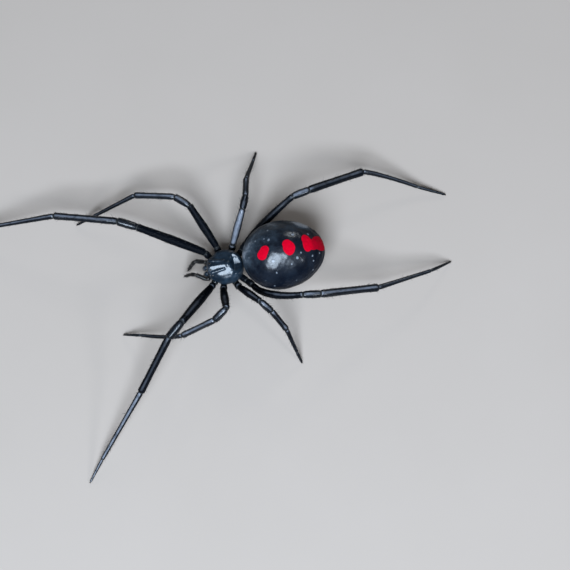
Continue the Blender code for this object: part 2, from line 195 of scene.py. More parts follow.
for name, direction, distance, width, power, tint in LIGHTS:
    lamp = bpy.data.lights.new(name, "AREA")
    lamp.shape = "SQUARE"
    lamp.size = width * MM
    lamp.energy = power
    lamp.color = tint
    light = bpy.data.objects.new(name, lamp)
    bpy.context.scene.collection.objects.link(light)
    towards = Vector(direction).normalized()
    light.location = in_metres(Vector(LIGHT_AIM) + towards * distance)
    light.rotation_euler = towards.to_track_quat("Z", "Y").to_euler()

world = bpy.data.worlds.new("studio")
world.use_nodes = True
sky = world.node_tree.nodes["Background"]
sky.inputs["Color"].default_value = WORLD_TINT
sky.inputs["Strength"].default_value = WORLD_STRENGTH
bpy.context.scene.world = world

level = math.cos(CAMERA_HEIGHT)
back = Vector((math.sin(CAMERA_TURN) * level, -math.cos(CAMERA_TURN) * level, math.sin(CAMERA_HEIGHT)))
camera_data = bpy.data.cameras.new("camera")
camera_data.lens = CAMERA_LENS
camera_data.sensor_width = SENSOR
camera_data.clip_start = CAMERA_NEAR * MM
camera_data.clip_end = CAMERA_FAR * MM
camera = bpy.data.objects.new("camera", camera_data)
bpy.context.scene.collection.objects.link(camera)
camera.location = in_metres(AIM) + back * CAMERA_DISTANCE * MM
camera.rotation_euler = (math.pi / 2 - CAMERA_HEIGHT, 0.0, CAMERA_TURN)
bpy.context.scene.camera = camera
bpy.context.scene.view_settings.view_transform = "Standard"


# Head shield
# The carapace: one hard, glossy plate of blue-black chitin. A low crest and two rounded ridges
# run down the head with a groove between each, a slit lies across the thorax where the sucking
# stomach's muscles hold, and the plate sinks behind it between two raised rear corners.

SHIELD_HALF_LENGTH = 1.50
SHIELD_HALF_WIDTH = 1.42
SHIELD_SQUARENESS = 2.3
SHIELD_MARGIN_Z = 2.24
SHIELD_UNDERSIDE = 0.06
SHIELD_DOME = 0.98
SHIELD_FULLNESS = 2.5
SHIELD_FRONT_FULLNESS = 5.96
NECK_PINCH = 0.10
NECK_PINCH_AT = math.radians(50)
NECK_PINCH_SPAN = math.radians(17)
SHIELD_HILLS = (
    # height (below 0 for a hollow), place along the shield and aside, half length and width,
    # squareness across
    (0.60, -1.70, 0.00, 0.47, 1.02, 6),
    (0.193, -0.56, 0.00, 1.10, 0.31, 2),
    (0.141, 0.343, 0.00, 0.463, 0.60, 2),
    (-0.355, 0.831, 0.00, 0.289, 0.476, 2),
    (0.25, 1.37, 0.092, 0.161, 0.161, 2),
)
SHIELD_GROOVES = (
    # depth (below 0 for a ridge), half width, start and end on the right side
    (0.07, 0.213, (-0.014, 0.16), (-1.129, 0.178)),
    (0.03, 0.165, (0.451, 0.901), (-0.785, 1.011)),
    (0.098, 0.09, (0.704, 0.00), (0.704, 0.372)),
    (-0.50, 0.289, (0.854, 0.925), (1.392, 0.433)),
    (-0.075, 0.10, (-0.093, 0.345), (-1.139, 0.523)),
    (-0.025, 0.132, (0.253, 0.075), (-0.633, 0.292)),
    (-0.093, 0.188, (0.927, 0.205), (0.555, 0.412)),
)


def fading(distance):
    """1 at no distance, and fading smoothly to 0 past a distance of 1."""
    return math.exp(-(distance**2))


def shield_outline(angle):
    """Distance from the middle to the margin, at an angle off straight ahead."""
    length = abs(math.cos(angle)) / SHIELD_HALF_LENGTH
    width = abs(math.sin(angle)) / SHIELD_HALF_WIDTH
    oval = (length**SHIELD_SQUARENESS + width**SHIELD_SQUARENESS) ** (-1 / SHIELD_SQUARENESS)
    pinch = fading((abs(angle) - NECK_PINCH_AT) / NECK_PINCH_SPAN)
    return oval * (1 - NECK_PINCH * pinch)


def hill_share(x, y, middle, aside, half_length, half_width, squareness):
    """1 on top of a smooth hill that lies on both sides, fading over its half sizes."""
    across = abs(abs(y) - aside) / half_width
    return math.exp(-(((x - middle) / half_length) ** 2) - across**squareness)


def groove_share(x, y, half_width, start, end):
    """1 along the middle of a groove that lies on both sides, fading to 0 beside it."""
    start, end = Vector(start), Vector(end)
    along = end - start
    place = Vector((x, abs(y))) - start
    share = min(1.0, max(0.0, place.dot(along) / along.length_squared))
    distance = (place - along * share).length
    return fading(distance / half_width)


def shield_point(unit):
    """Point of the head shield for a point of the unit sphere."""
    across = math.hypot(unit.x, unit.y)
    reach = shield_outline(math.atan2(unit.y, -unit.x)) * across
    heading = math.atan2(unit.y, unit.x)
    x, y = reach * math.cos(heading), reach * math.sin(heading)
    if unit.z < 0:
        return Vector((x, y, SHIELD_MARGIN_Z + SHIELD_UNDERSIDE * unit.z))
    height = SHIELD_DOME
    height += sum(hill * hill_share(x, y, *place) for hill, *place in SHIELD_HILLS)
    height -= sum(depth * groove_share(x, y, *place) for depth, *place in SHIELD_GROOVES)
    ahead = max(0.0, -math.cos(heading)) ** 2
    power = SHIELD_FULLNESS + (SHIELD_FRONT_FULLNESS - SHIELD_FULLNESS) * ahead
    fullness = max(0.0, 1 - across**power) ** 0.5
    return Vector((x, y, SHIELD_MARGIN_Z + fullness * height))


BODY = "root"


def add_piece(name, bm, finish, slot, *nodes):
    """Places a mesh made in millimetres, gives it its finish and fastens it to the body."""
    bmesh.ops.recalc_face_normals(bm, faces=bm.faces)
    placing = Matrix.Translation(UNDER_SHIELD) @ Matrix.Scale(MM, 4)
    bmesh.ops.transform(bm, matrix=placing, verts=bm.verts)
    mesh = bpy.data.meshes.new(name)
    bm.to_mesh(mesh)
    bm.free()
    mesh.shade_smooth()
    mesh.materials.append(finish)
    fasten(name, mesh, slot, *nodes)


def fasten(name, mesh, slot, *nodes):
    """Makes a mesh a piece that rides on the body and stands for the nodes named."""
    piece = bpy.data.objects.new(name, mesh)
    bpy.context.scene.collection.objects.link(piece)
    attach(piece, BODY)
    if nodes:
        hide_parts(*nodes)


def shaped_ball(shape, columns=96, rows=48, poles_ahead=False):
    """A closed ball whose every point is moved by a function of its place on the unit sphere."""
    bm = bmesh.new()
    bmesh.ops.create_uvsphere(bm, u_segments=columns, v_segments=rows, radius=1.0)
    if poles_ahead:
        bmesh.ops.rotate(bm, matrix=Matrix.Rotation(math.pi / 2, 3, "Y"), verts=bm.verts)
    for vertex in bm.verts:
        vertex.co = shape(vertex.co.normalized())
    return bm


def cells(place, scale, output="Distance"):
    """Voronoi cells, with about that many in a millimetre."""
    inputs = {"Vector": place, "Scale": scale}
    return place.add("ShaderNodeTexVoronoi", inputs, output=output)


def relief(height, depth):
    """Normal of a surface whose height, from 0 to 1, stands for a depth in millimetres."""
    return height.add("ShaderNodeBump", {"Height": height, "Distance": depth * MM, "Strength": 1.0})


CHITIN_COAT = 0.60
DULL_COAT = 0.05


def chitin_finish(name, dark, light, roughness, sheen_cells, pitting, dull_below=None):
    """Chitin, near black, uneven in tint, finely pitted and polished, or dull below a height."""
    material, start, shader = finish_of(
        name, coat_weight=CHITIN_COAT, coat_roughness=0.20, coat_ior=1.6, specular_ior_level=0.06
    )
    place = body_place(start)
    if dull_below:
        height = place.add("ShaderNodeSeparateXYZ", {0: place}, output="Z")
        plug(DULL_COAT + CHITIN_COAT * height.within(*dull_below), shader, "Coat Weight")
    clouds = grain(place, 1.6, detail=5.0)
    plug(clouds.within(0.35, 0.7).blended(dark, light), shader, "Base Color")
    low, high = roughness
    plug(low + (high - low) * grain(place, 3.5, detail=4.0), shader, "Roughness")
    pits = cells(place, sheen_cells).within(0.0, 0.6)
    waves = grain(place, sheen_cells * 0.45, detail=4.0)
    plug(relief(pits * 0.35 + waves, pitting), shader, "Normal")
    return material


SHIELD_DARK = colour(0.0065, 0.0135, 0.0225)
SHIELD_LIGHT = colour(0.0200, 0.0360, 0.0550)
SHIELD_POLISH = (2.80, 3.10)
shield_finish = chitin_finish(
    "shield_chitin", SHIELD_DARK, SHIELD_LIGHT, (0.30, 0.50), 14.0, 0.006, SHIELD_POLISH
)
shield = shaped_ball(shield_point, columns=160, rows=120)
add_piece("head_shield", shield, shield_finish, "body_shell", "carapace")


# Eyes
# Eight small, simple eyes in two rows of four across the front of the head. Each is a dark,
# glossy lens of clear chitin in a low raised ring of the shield.

SIDES = {"left": -1, "right": 1}
EYES = {
    # pair: angle off straight ahead, height angle, radius
    "front_middle": (9, 20, 0.085),
    "front_side": (26, 19, 0.080),
    "rear_middle": (12, 36, 0.085),
    "rear_side": (33, 31, 0.080),
}
LENS_FLATNESS = 0.80
LENS_SINK = 0.01
EYE_RING_WIDTH = 0.020
EYE_SEAT_REACH = 0.03


def edges_of(vertices):
    """The edges at some vertices, each once and in the same order in every run."""
    return list(dict.fromkeys(edge for vertex in vertices for edge in vertex.link_edges))


def straight_out(surface, unit, step):
    """Point of a shaped ball at a place on the unit sphere, and a vector straight out of it."""
    across = unit.orthogonal().normalized()
    along = unit.cross(across)
    here = surface(unit)
    first = surface((unit + across * step).normalized()) - here
    second = surface((unit + along * step).normalized()) - here
    return here, first.cross(second)


lens_finish, start, shader = finish_of(
    "eye_lens", roughness=0.05, coat_weight=1.0, coat_roughness=0.03
)
depth = grain(body_place(start), 9.0, detail=2.0)
plug(depth.blended(colour(0.004, 0.003, 0.003), colour(0.020, 0.012, 0.008)), shader, "Base Color")
plug(relief(depth, 0.001), shader, "Normal")

rings = bmesh.new()
for pair, (off_ahead, height_angle, radius) in EYES.items():
    for side, sign in SIDES.items():
        heading = math.pi - sign * math.radians(off_ahead)
        height_level = math.cos(math.radians(height_angle))
        unit = Vector((height_level * math.cos(heading), height_level * math.sin(heading), 0))
        unit.z = math.sin(math.radians(height_angle))
        root, out = straight_out(shield_point, unit, EYE_SEAT_REACH)
        out.normalize()
        turn = out.to_track_quat("Z", "Y").to_matrix().to_4x4()
        seat = Matrix.Translation(root) @ turn
        lens = bmesh.new()
        flat = Matrix.Diagonal((1, 1, LENS_FLATNESS, 1))
        shape = seat @ Matrix.Translation((0, 0, -LENS_SINK)) @ flat
        bmesh.ops.create_uvsphere(lens, u_segments=32, v_segments=20, radius=radius, matrix=shape)
        name = f"eye_{pair}_{side}"
        add_piece(f"{name}_lens", lens, lens_finish, "eye_lens", name)
        profile = Matrix.Translation((radius, 0, 0)) @ Matrix.Rotation(math.pi / 2, 4, "X")
        made = bmesh.ops.create_circle(rings, segments=10, radius=EYE_RING_WIDTH, matrix=seat @ profile)
        loop = edges_of(made["verts"])
        bmesh.ops.spin(
            rings,
            geom=made["verts"] + loop,
            cent=root,
            axis=out,
            angle=math.tau,
            steps=28,
            use_merge=True,
        )
bmesh.ops.remove_doubles(rings, verts=rings.verts, dist=1e-5)
add_piece("eye_rings", rings, shield_finish, "body_shell")


# Underside of the head and thorax
# The heart-shaped chest plate, the lip and the two jaw plates close the front of the body from
# below. A soft, wrinkled wall joins them to the margin of the shield, and the legs' first
# segments grow out of it.

CHEST_CENTRE = (0.05, 0.0, 1.53)
CHEST_HALF_SIZES = (1.00, 0.72, 0.34)
CHEST_TAPER = 0.22
CHEST_RIM = 0.03
SMALL_PLATE_RIM = 0.01
RIM_AT = 0.86
RIM_HALF_WIDTH = 0.07
LIP_CENTRE = (-0.93, 0.0, 1.50)
LIP_HALF_SIZES = (0.22, 0.24, 0.20)
JAW_PLATE_CENTRE = (-1.00, 0.27, 1.52)
JAW_PLATE_HALF_SIZES = (0.34, 0.15, 0.21)
JAW_PLATE_TOE_IN = math.radians(16)
WALL_CENTRE = (0.02, 0.0, 2.00)
WALL_HALF_SIZES = (1.34, 1.16, 0.27)
WALL_FOLDS = 0.025
WALL_PLEATS = 14
WALL_CREASES = 9


def plate(centre, half_sizes, taper=0.0, rim=0.0, turn=0.0):
    """A low oval plate that narrows towards the rear, with a raised line near its edge."""

    def shape(unit):
        edge = fading((math.hypot(unit.x, unit.y) - RIM_AT) / RIM_HALF_WIDTH)
        x, y, z = (unit[axis] * half_sizes[axis] for axis in range(3))
        point = Vector((x, y * (1 - taper * max(0.0, unit.x)), z - rim * edge * max(0.0, -unit.z)))
        return Matrix.Rotation(turn, 3, "Z") @ point + Vector(centre)

    return shaped_ball(shape)


def wall_point(unit):
    """Point of the soft wall between the shield and the chest plate, pleated all round."""
    pleats = math.sin(WALL_PLEATS * math.atan2(unit.y, unit.x))
    pleats += 0.6 * math.sin(WALL_CREASES * unit.z * math.pi)
    swell = 1 + WALL_FOLDS * pleats * (1 - abs(unit.z))
    return Vector(unit[axis] * WALL_HALF_SIZES[axis] * swell for axis in range(3)) + Vector(WALL_CENTRE)


def soft_finish(name, dark, light, fold_scale):
    """Soft cuticle: matt, wrinkled and browner than the plates it joins."""
    material, start, shader = finish_of(name, sheen_weight=0.15)
    place = body_place(start)
    clouds = grain(place, 2.5, detail=6.0)
    plug(clouds.within(0.3, 0.7).blended(dark, light), shader, "Base Color")
    plug(0.42 + 0.25 * clouds, shader, "Roughness")
    folds = grain(place, fold_scale, detail=5.0, roughness=0.65)
    plug(relief(folds, 0.03), shader, "Normal")
    return material


CHEST_DARK = colour(0.006, 0.007, 0.009)
CHEST_LIGHT = colour(0.014, 0.013, 0.014)
WALL_DARK = colour(0.010, 0.009, 0.009)
WALL_LIGHT = colour(0.034, 0.027, 0.024)
chest_finish = chitin_finish("chest_chitin", CHEST_DARK, CHEST_LIGHT, (0.24, 0.42), 11.0, 0.008)
soft_wall_finish = soft_finish("soft_wall", WALL_DARK, WALL_LIGHT, 7.0)
chest = plate(CHEST_CENTRE, CHEST_HALF_SIZES, taper=CHEST_TAPER, rim=CHEST_RIM)
add_piece("chest_plate", chest, chest_finish, "body_shell", "sternum")
lip = plate(LIP_CENTRE, LIP_HALF_SIZES, rim=SMALL_PLATE_RIM)
add_piece("lip", lip, chest_finish, "body_shell", "sternum")
for side, sign in SIDES.items():
    x, y, z = JAW_PLATE_CENTRE
    toe_in = sign * JAW_PLATE_TOE_IN
    jaw = plate((x, sign * y, z), JAW_PLATE_HALF_SIZES, rim=SMALL_PLATE_RIM, turn=toe_in)
    add_piece(f"jaw_plate_{side}", jaw, chest_finish, "body_shell", "sternum")
add_piece("soft_wall", shaped_ball(wall_point, columns=160, rows=60), soft_wall_finish, "soft_joint")


# Chelicerae and fangs
# A pair of stout, downward jaws under the front of the shield, of the same chitin. Each ends
# in a separate curved fang of dark amber horn, hinged at its tip and folded inwards.

CHELICERA_STATIONS = (
    # x, distance from the middle, z, radius
    (-1.44, 0.24, 2.14, 0.09),
    (-1.46, 0.24, 2.10, 0.14),
    (-1.50, 0.25, 2.00, 0.185),
    (-1.55, 0.26, 1.88, 0.205),
    (-1.59, 0.26, 1.74, 0.21),
    (-1.62, 0.255, 1.58, 0.205),
    (-1.635, 0.25, 1.42, 0.19),
    (-1.64, 0.24, 1.30, 0.17),
    (-1.64, 0.235, 1.22, 0.14),
    (-1.638, 0.23, 1.185, 0.09),
)
FANG_STATIONS = (
    # as above, down to the point
    (-1.640, 0.225, 1.24, 0.070),
    (-1.640, 0.215, 1.18, 0.080),
    (-1.635, 0.205, 1.12, 0.070),
    (-1.615, 0.185, 1.05, 0.058),
    (-1.580, 0.160, 0.99, 0.046),
    (-1.540, 0.130, 0.94, 0.034),
    (-1.505, 0.100, 0.905, 0.022),
    (-1.480, 0.075, 0.885, 0.008),
)


def sweep(bm, stations, sides, marks=()):
    """Draws a ring through stations of (point, radius), twists it as little as can be and caps it."""
    points = [Vector(point) for point, radius in stations]
    steps = [(after - before).normalized() for before, after in zip(points, points[1:])]
    turned = [(before + after).normalized() for before, after in zip(steps, steps[1:])]
    tangents = [steps[0], *turned, steps[-1]]
    made = bmesh.ops.create_circle(bm, segments=sides, radius=1.0)["verts"]
    edges = edges_of(made)
    first_edges, before, heading = edges, Matrix.Identity(4), tangents[0]
    turn = heading.to_track_quat("Z", "Y")
    for index, (point, tangent) in enumerate(zip(points, tangents)):
        turn = heading.rotation_difference(tangent) @ turn
        heading = tangent
        size = Matrix.Scale(stations[index][1], 4)
        now = Matrix.Translation(point) @ turn.to_matrix().to_4x4() @ size
        if index:
            grown = bmesh.ops.extrude_edge_only(bm, edges=edges)["geom"]
            made = [item for item in grown if isinstance(item, bmesh.types.BMVert)]
            new = set(made)
            edges = [item for item in grown if isinstance(item, bmesh.types.BMEdge)]
            edges = [edge for edge in edges if new.issuperset(edge.verts)]
        bmesh.ops.transform(bm, matrix=now @ before.inverted(), verts=made)
        for layer, values in marks:
            for vertex in made:
                vertex[layer] = values[index]
        before = now
    for rim in (first_edges, edges):
        bmesh.ops.edgeloop_fill(bm, edges=rim)


def mirrored(stations, sign):
    """Stations of one side from a table of (x, distance from the middle, z, radius)."""
    return [((x, sign * y, z), radius) for x, y, z, radius in stations]


HORN_DARK = colour(0.012, 0.006, 0.004)
HORN_AMBER = colour(0.060, 0.022, 0.010)


def horn_finish(name):
    """Fang and claw horn: dark amber, faintly streaked and polished."""
    material, start, shader = finish_of(name, coat_weight=0.3, coat_roughness=0.1)
    place = body_place(start)
    streaks = grain(place, 12.0, detail=3.0)
    plug(streaks.blended(HORN_DARK, HORN_AMBER), shader, "Base Color")
    plug(0.20 + 0.15 * streaks, shader, "Roughness")
    plug(relief(streaks, 0.002), shader, "Normal")
    return material


jaw_finish = chitin_finish("jaw_chitin", SHIELD_DARK, SHIELD_LIGHT, (0.22, 0.42), 14.0, 0.006)
fang_finish = horn_finish("fang_horn")
for side, sign in SIDES.items():
    bm = bmesh.new()
    sweep(bm, mirrored(CHELICERA_STATIONS, sign), sides=28)
    add_piece(f"chelicera_{side}_shell", bm, jaw_finish, "body_shell", f"chelicera_{side}")
    bm = bmesh.new()
    sweep(bm, mirrored(FANG_STATIONS, sign), sides=16)
    add_piece(f"fang_{side}", bm, fang_finish, "body_shell")


# Pedipalps
# The two short feelers beside the mouth, of brownish chitin, each a row of four hard tubes
# with a small claw. The left one reaches further inwards and ahead than the right one.

PALP_JOINTS = {
    "left": (
        (-1.20, -0.50, 1.86),
        (-1.56, -0.74, 2.00),
        (-2.42, -0.24, 2.16),
        (-2.80, -0.10, 1.86),
        (-3.36, 0.00, 1.02),
    ),
    "right": (
        (-1.20, 0.50, 1.86),
        (-1.56, 0.72, 2.00),
        (-2.30, 0.86, 2.16),
        (-2.60, 0.70, 1.80),
        (-3.00, 0.42, 0.92),
    ),
}
PALP_WIDTHS = (0.19, 0.17, 0.155, 0.135)
PALP_OUTLINE = ((0.0, 0.92), (0.35, 1.0), (0.8, 0.96), (1.0, 0.90))
PALP_TIP_OUTLINE = ((0.0, 0.95), (0.4, 1.0), (0.8, 0.72), (1.0, 0.42))
PALP_BEND_REACH = 0.12
PALP_CLAW_LENGTH = 0.16
PALP_CLAW_RADIUS = 0.028

# Distance between the samples of a limb's middle line
SAMPLE = 0.02

# The soft neck at a joint, and the base, rim and rounded tip of the segments beside it: how
# thick they are as shares of the segment's width, and how far from the joint they lie
NECK = 0.86
NECK_HALF_LENGTH = 0.035
BASE_SHARE = 0.93
BASE_RISE = 0.55
RIM_DROP = 0.035
RIM_LIP = 1.02
RIM_LIP_AT = 0.20
RIM_LIP_END = 0.45
TIP_ROUNDING = 0.5
TIP_LEAST = 0.02

# Among a limb's marks is its painted sheen: a pale painted highlight along the top
Limb = namedtuple("Limb", "points tangents radii softness dullness paleness joints")


def bowed(start, end, share, bow, peak=0.5):
    """Point at a share of the way from start to end, on an arc that bows by a vector."""
    arc = share ** (math.log(0.5) / math.log(peak))
    return start.lerp(end, share) + bow * (4 * arc * (1 - arc))


def smoothed(samples, reach):
    """Samples averaged over a reach on both sides, with both ends left where they are."""
    head = 2 * samples[0] - samples[reach:0:-1]
    tail = 2 * samples[-1] - samples[-2 : -reach - 2 : -1]
    padded = np.concatenate([head, samples, tail])
    kernel = np.full(2 * reach + 1, 1 / (2 * reach + 1))
    return np.stack([np.convolve(line, kernel, "valid") for line in padded.T], axis=-1)


def limb_line(corners, bows, widths, outlines, bend_reach, peak=0.5):
    """Middle line of a jointed limb, with its thickness and how soft its skin is at each sample."""
    samples, joints = [], [0]
    for start, end, bow in zip(corners, corners[1:], bows):
        count = round((end - start).length / SAMPLE)
        samples += [bowed(start, end, step / count, bow, peak) for step in range(count)]
        joints.append(len(samples))
    samples.append(corners[-1])
    points = smoothed(np.array(samples), round(bend_reach / SAMPLE))
    steps = np.gradient(points, axis=0)
    tangents = steps / np.linalg.norm(steps, axis=1, keepdims=True)
    radii, softness = np.empty(len(points)), np.zeros(len(points))
    for index, (width, outline) in enumerate(zip(widths, outlines)):
        first, last = joints[index], joints[index + 1] + (index + 2 == len(joints))
        walked = np.arange(first, last) * SAMPLE
        behind, ahead = walked - joints[index] * SAMPLE, joints[index + 1] * SAMPLE - walked
        shares = np.interp(behind / (behind + ahead), *zip(*outline))
        neck = (0.0, NECK_HALF_LENGTH, NECK_HALF_LENGTH + RIM_DROP)
        root = (*neck, NECK_HALF_LENGTH + BASE_RISE * width)
        tip = (*neck, RIM_LIP_AT, RIM_LIP_END)
        if index:
            shares = shares * np.interp(behind, root, (NECK, NECK, BASE_SHARE, 1.0))
            softness[first:last] += np.interp(behind, neck, (1.0, 1.0, 0.0))
        if index + 2 < len(joints):
            shares = shares * np.interp(ahead, tip, (NECK, NECK, 1.0, RIM_LIP, 1.0))
            softness[first:last] += np.interp(ahead, neck, (1.0, 1.0, 0.0))
        else:
            inward = np.clip(1 - ahead / (width * TIP_ROUNDING), 0, 1)
            shares = shares * np.sqrt(np.clip(1 - inward**2, TIP_LEAST, 1))
        radii[first:last] = width * shares
    radii = smoothed(radii[:, None], 1)[:, 0]
    # The dullness and the painted sheen, a painted highlight, are filled in later for each segment
    dullness, paleness = np.zeros(len(points)), np.zeros(len(points))
    return Limb(points, tangents, radii, softness, dullness, paleness, joints)


# Painted highlight: a pale painted sheen lies in a thin line along the top of a limb and spreads down
# both sides where it is strong; the topside share says how far the skin faces up, and thins the coat
# below it
PAINTED_SHEEN_LINE = 0.035
PAINTED_SHEEN_SPREAD = 0.26
PAINTED_SHEEN_SPREAD_POWER = 6
TOPSIDE_FROM = 0.35
TOPSIDE_SPAN = 0.40


def limb_skin(bm, limb, sides, coarse=0.14, fine=0.02, fine_reach=0.16):
    """Skin of a limb, with its rings closer together at the joints and at both ends."""
    chosen = [0]
    ends = np.array(limb.joints)
    for index in range(1, len(limb.points)):
        near = np.abs(ends - index).min() * SAMPLE < fine_reach
        if (index - chosen[-1]) * SAMPLE >= (fine if near else coarse) - SAMPLE / 2:
            chosen.append(index)
    if chosen[-1] != len(limb.points) - 1:
        chosen.append(len(limb.points) - 1)
    marks = []
    for name in ("softness", "dullness", "paleness"):
        values = getattr(limb, name)
        marks.append((bm.verts.layers.float.new(name), [float(values[index]) for index in chosen]))
    stations = [(Vector(limb.points[index]), float(limb.radii[index])) for index in chosen]
    sweep(bm, stations, sides, marks)
    bmesh.ops.recalc_face_normals(bm, faces=bm.faces)
    bm.normal_update()
    topside = bm.verts.layers.float.new("topside")
    paleness = bm.verts.layers.float["paleness"]
    for number, vertex in enumerate(bm.verts):
        tangent = limb.tangents[chosen[number // sides]]
        upward = vertex.normal.z / math.sqrt(1.0 - tangent[2] ** 2)
        vertex[topside] = min(1.0, max(0.0, (upward - TOPSIDE_FROM) / TOPSIDE_SPAN))
        # Painted highlight: the painted sheen is kept to a line along the upward-facing side, wider
        # where it is strong
        line = PAINTED_SHEEN_LINE + PAINTED_SHEEN_SPREAD * vertex[paleness] ** PAINTED_SHEEN_SPREAD_POWER
        vertex[paleness] *= max(0.0, 1.0 - (1.0 - upward) / line)


CLAW_STATIONS = 8
CLAW_BEND = math.radians(75)
CLAW_TAPER = 0.88


def claw_stations(root, forward, down, length, radius):
    """A claw that leaves its root forwards and curves down to its point."""
    stations = []
    for step in range(CLAW_STATIONS):
        share = step / (CLAW_STATIONS - 1)
        bend = share * CLAW_BEND
        reach = forward * math.sin(bend) + down * (1 - math.cos(bend))
        stations.append((root + reach * (length / CLAW_BEND), radius * (1 - CLAW_TAPER * share)))
    return stations


MATT_BLACK = colour(0.0009, 0.0020, 0.0042)
# Pale bluish colour of the painted sheen, a painted highlight on the legs
PAINTED_SHEEN_COLOUR = colour(0.222, 0.238, 0.282)


def limb_finish(name, dark, light, soft_dark, soft_light, roughness, coat):
    """Chitin of a limb, with a paler, matt membrane where its softness is 1, and a pale painted
    highlight where its painted sheen mark is.
    """
    material, start, shader = finish_of(name, coat_roughness=0.16, specular_ior_level=0.04)
    place = body_place(start)
    soft, dull, pale, top = (
        start.add("ShaderNodeAttribute", output="Fac", attribute_name=mark)
        for mark in ("softness", "dullness", "paleness", "topside")
    )
    clouds = grain(place, 2.2, detail=5.0)
    fine = grain(place, 9.0, detail=4.0)
    polished = clouds.within(0.35, 0.7).blended(dark, light)
    # Painted highlight: the pale sheen colour is laid where the painted sheen mark is, broken up by the
    # clouds
    chitin_with_painted_sheen = (pale * clouds.within(0.10, 0.55)).blended(dull.blended(polished, MATT_BLACK), PAINTED_SHEEN_COLOUR)
    skin = fine.blended(soft_dark, soft_light)
    edge = (soft + 0.5 * (fine - 0.5)).within(0.35, 0.65)
    plug(edge.blended(chitin_with_painted_sheen, skin), shader, "Base Color")
    low, high = roughness
    uneven = grain(place, 4.0, detail=4.0)
    plug(low + (high - low) * uneven + 0.25 * edge + 0.20 * dull, shader, "Roughness")
    worn = grain(place, 0.9, detail=4.0, roughness=0.6).within(0.36, 0.58)
    plug(coat * (0.25 + 0.75 * worn) * (1 - dull) * (0.3 + 0.7 * top), shader, "Coat Weight")
    sockets = cells(place, 10.0).within(0.0, 0.45)
    plug(relief(0.5 * sockets + fine * (0.4 + edge), 0.007), shader, "Normal")
    return material


palp_finish = limb_finish(
    "feeler_chitin",
    colour(0.006, 0.006, 0.006),
    colour(0.018, 0.016, 0.015),
    colour(0.022, 0.019, 0.018),
    colour(0.075, 0.066, 0.060),
    (0.24, 0.42),
    0.35,
)
claw_finish = horn_finish("claw_horn")
palps = {}
NO_BOW = Vector((0.0, 0.0, 0.0))
DOWN = Vector((0.0, 0.0, -1.0))
for side, joints in PALP_JOINTS.items():
    corners = [Vector(joint) for joint in joints]
    outlines = [PALP_OUTLINE] * (len(PALP_WIDTHS) - 1) + [PALP_TIP_OUTLINE]
    limb = limb_line(corners, [NO_BOW] * len(PALP_WIDTHS), PALP_WIDTHS, outlines, PALP_BEND_REACH)
    palps[side] = limb
    bm = bmesh.new()
    limb_skin(bm, limb, sides=24, coarse=0.08)
    add_piece(f"pedipalp_{side}_skin", bm, palp_finish, "feeler_shell", f"pedipalp_{side}")
    bm = bmesh.new()
    forward = Vector(limb.tangents[-1])
    down = forward.orthogonal().normalized()
    root = Vector(limb.points[-1]) - forward * PALP_CLAW_RADIUS
    claw = claw_stations(root, forward, down, PALP_CLAW_LENGTH, PALP_CLAW_RADIUS)
    sweep(bm, claw, sides=8)
    add_piece(f"pedipalp_{side}_claw", bm, claw_finish, "feeler_shell")


# Stalk
# The narrow, ringed waist of soft cuticle that joins the thorax to the abdomen. It is one
# closed tube, whose ends lie inside the soft wall and inside the abdomen.

STALK_STATIONS = (
    # x, y, z, radius
    (1.10, 0.0, 1.86, 0.20),
    (1.22, 0.0, 1.90, 0.24),
    (1.36, 0.0, 1.96, 0.25),
    (1.50, 0.0, 2.03, 0.25),
    (1.64, 0.0, 2.12, 0.23),
    (1.86, 0.0, 2.26, 0.24),
)
STALK_RINGS = 7
STALK_RING_DEPTH = 0.018
STALK_SAMPLES = 60

bm = bmesh.new()
stalk = np.array(STALK_STATIONS)
shares = np.linspace(0, 1, STALK_SAMPLES)
along = shares * (len(stalk) - 1)
sampled = np.stack([np.interp(along, range(len(stalk)), line) for line in stalk.T], -1)
ringed = [
    (tuple(row[:3]), row[3] - STALK_RING_DEPTH * abs(math.sin(math.pi * STALK_RINGS * share)))
    for row, share in zip(sampled, shares)
]
sweep(bm, ringed, sides=32)
add_piece("stalk", bm, soft_wall_finish, "soft_joint", "pedicel")


# Abdomen
# A large, taut globe of thin skin, black with a satin gloss. Four bright red patches run down
# the middle of its back, the last two joined, and a red hourglass marks its belly. Pairs of
# small pits show where muscles hold the skin, and the lung covers lie under its front.

ABDOMEN_CENTRE = (4.75, 0.0, 3.62)
ABDOMEN_HALF_SIZES = (3.33, 2.74, 2.74)
ABDOMEN_TURN = math.radians(2)
ABDOMEN_EGG = 0.07
ABDOMEN_FLAT_BELLY = 0.06
ARC_RADIUS = 3.0
MUSCLE_PITS = (
    # distance round the back from its top, distance from the middle, radius, depth
    (-1.06, 0.90, 0.15, 0.025),
    (0.88, 0.99, 0.17, 0.022),
    (2.35, 0.92, 0.12, 0.020),
    (-1.15, 1.76, 0.10, 0.030),
    (3.20, 0.70, 0.09, 0.030),
)
# Slight hollow on the left of the back: place round the back and aside, reach, depth
SKIN_HOLLOW = (-0.28, -1.50, 1.20, 0.20)
# Waves in a millimetre and their height, of a skin that is taut but not even
SKIN_WAVES = ((0.9, 0.030), (2.6, 0.012), (6.0, 0.005))
SKIN_WAVE_LEVEL = 0.35
# Height, closeness and wander of the faint folds round the rear
REAR_FOLDS = (0.012, 9.0, 2.0)
# Places from the abdomen's middle, half length and width, swell; then its seam, in shares
LUNG_COVER = (-2.05, 0.95, 0.55, 0.48, 0.045)
LUNG_SEAM = (1.08, 0.10, 0.8)
# Furrow across the belly behind the lung covers: place, half width, depth, bend, half length
BELLY_FURROW = (-1.45, 0.10, 0.06, 0.12, 1.7)


def abdomen_back(point):
    """Distance round the back from its top to a point, which is given from the middle."""
    theta = math.atan2(point.z / ABDOMEN_HALF_SIZES[2], point.x / ABDOMEN_HALF_SIZES[0])
    return (math.pi / 2 - theta) * ARC_RADIUS


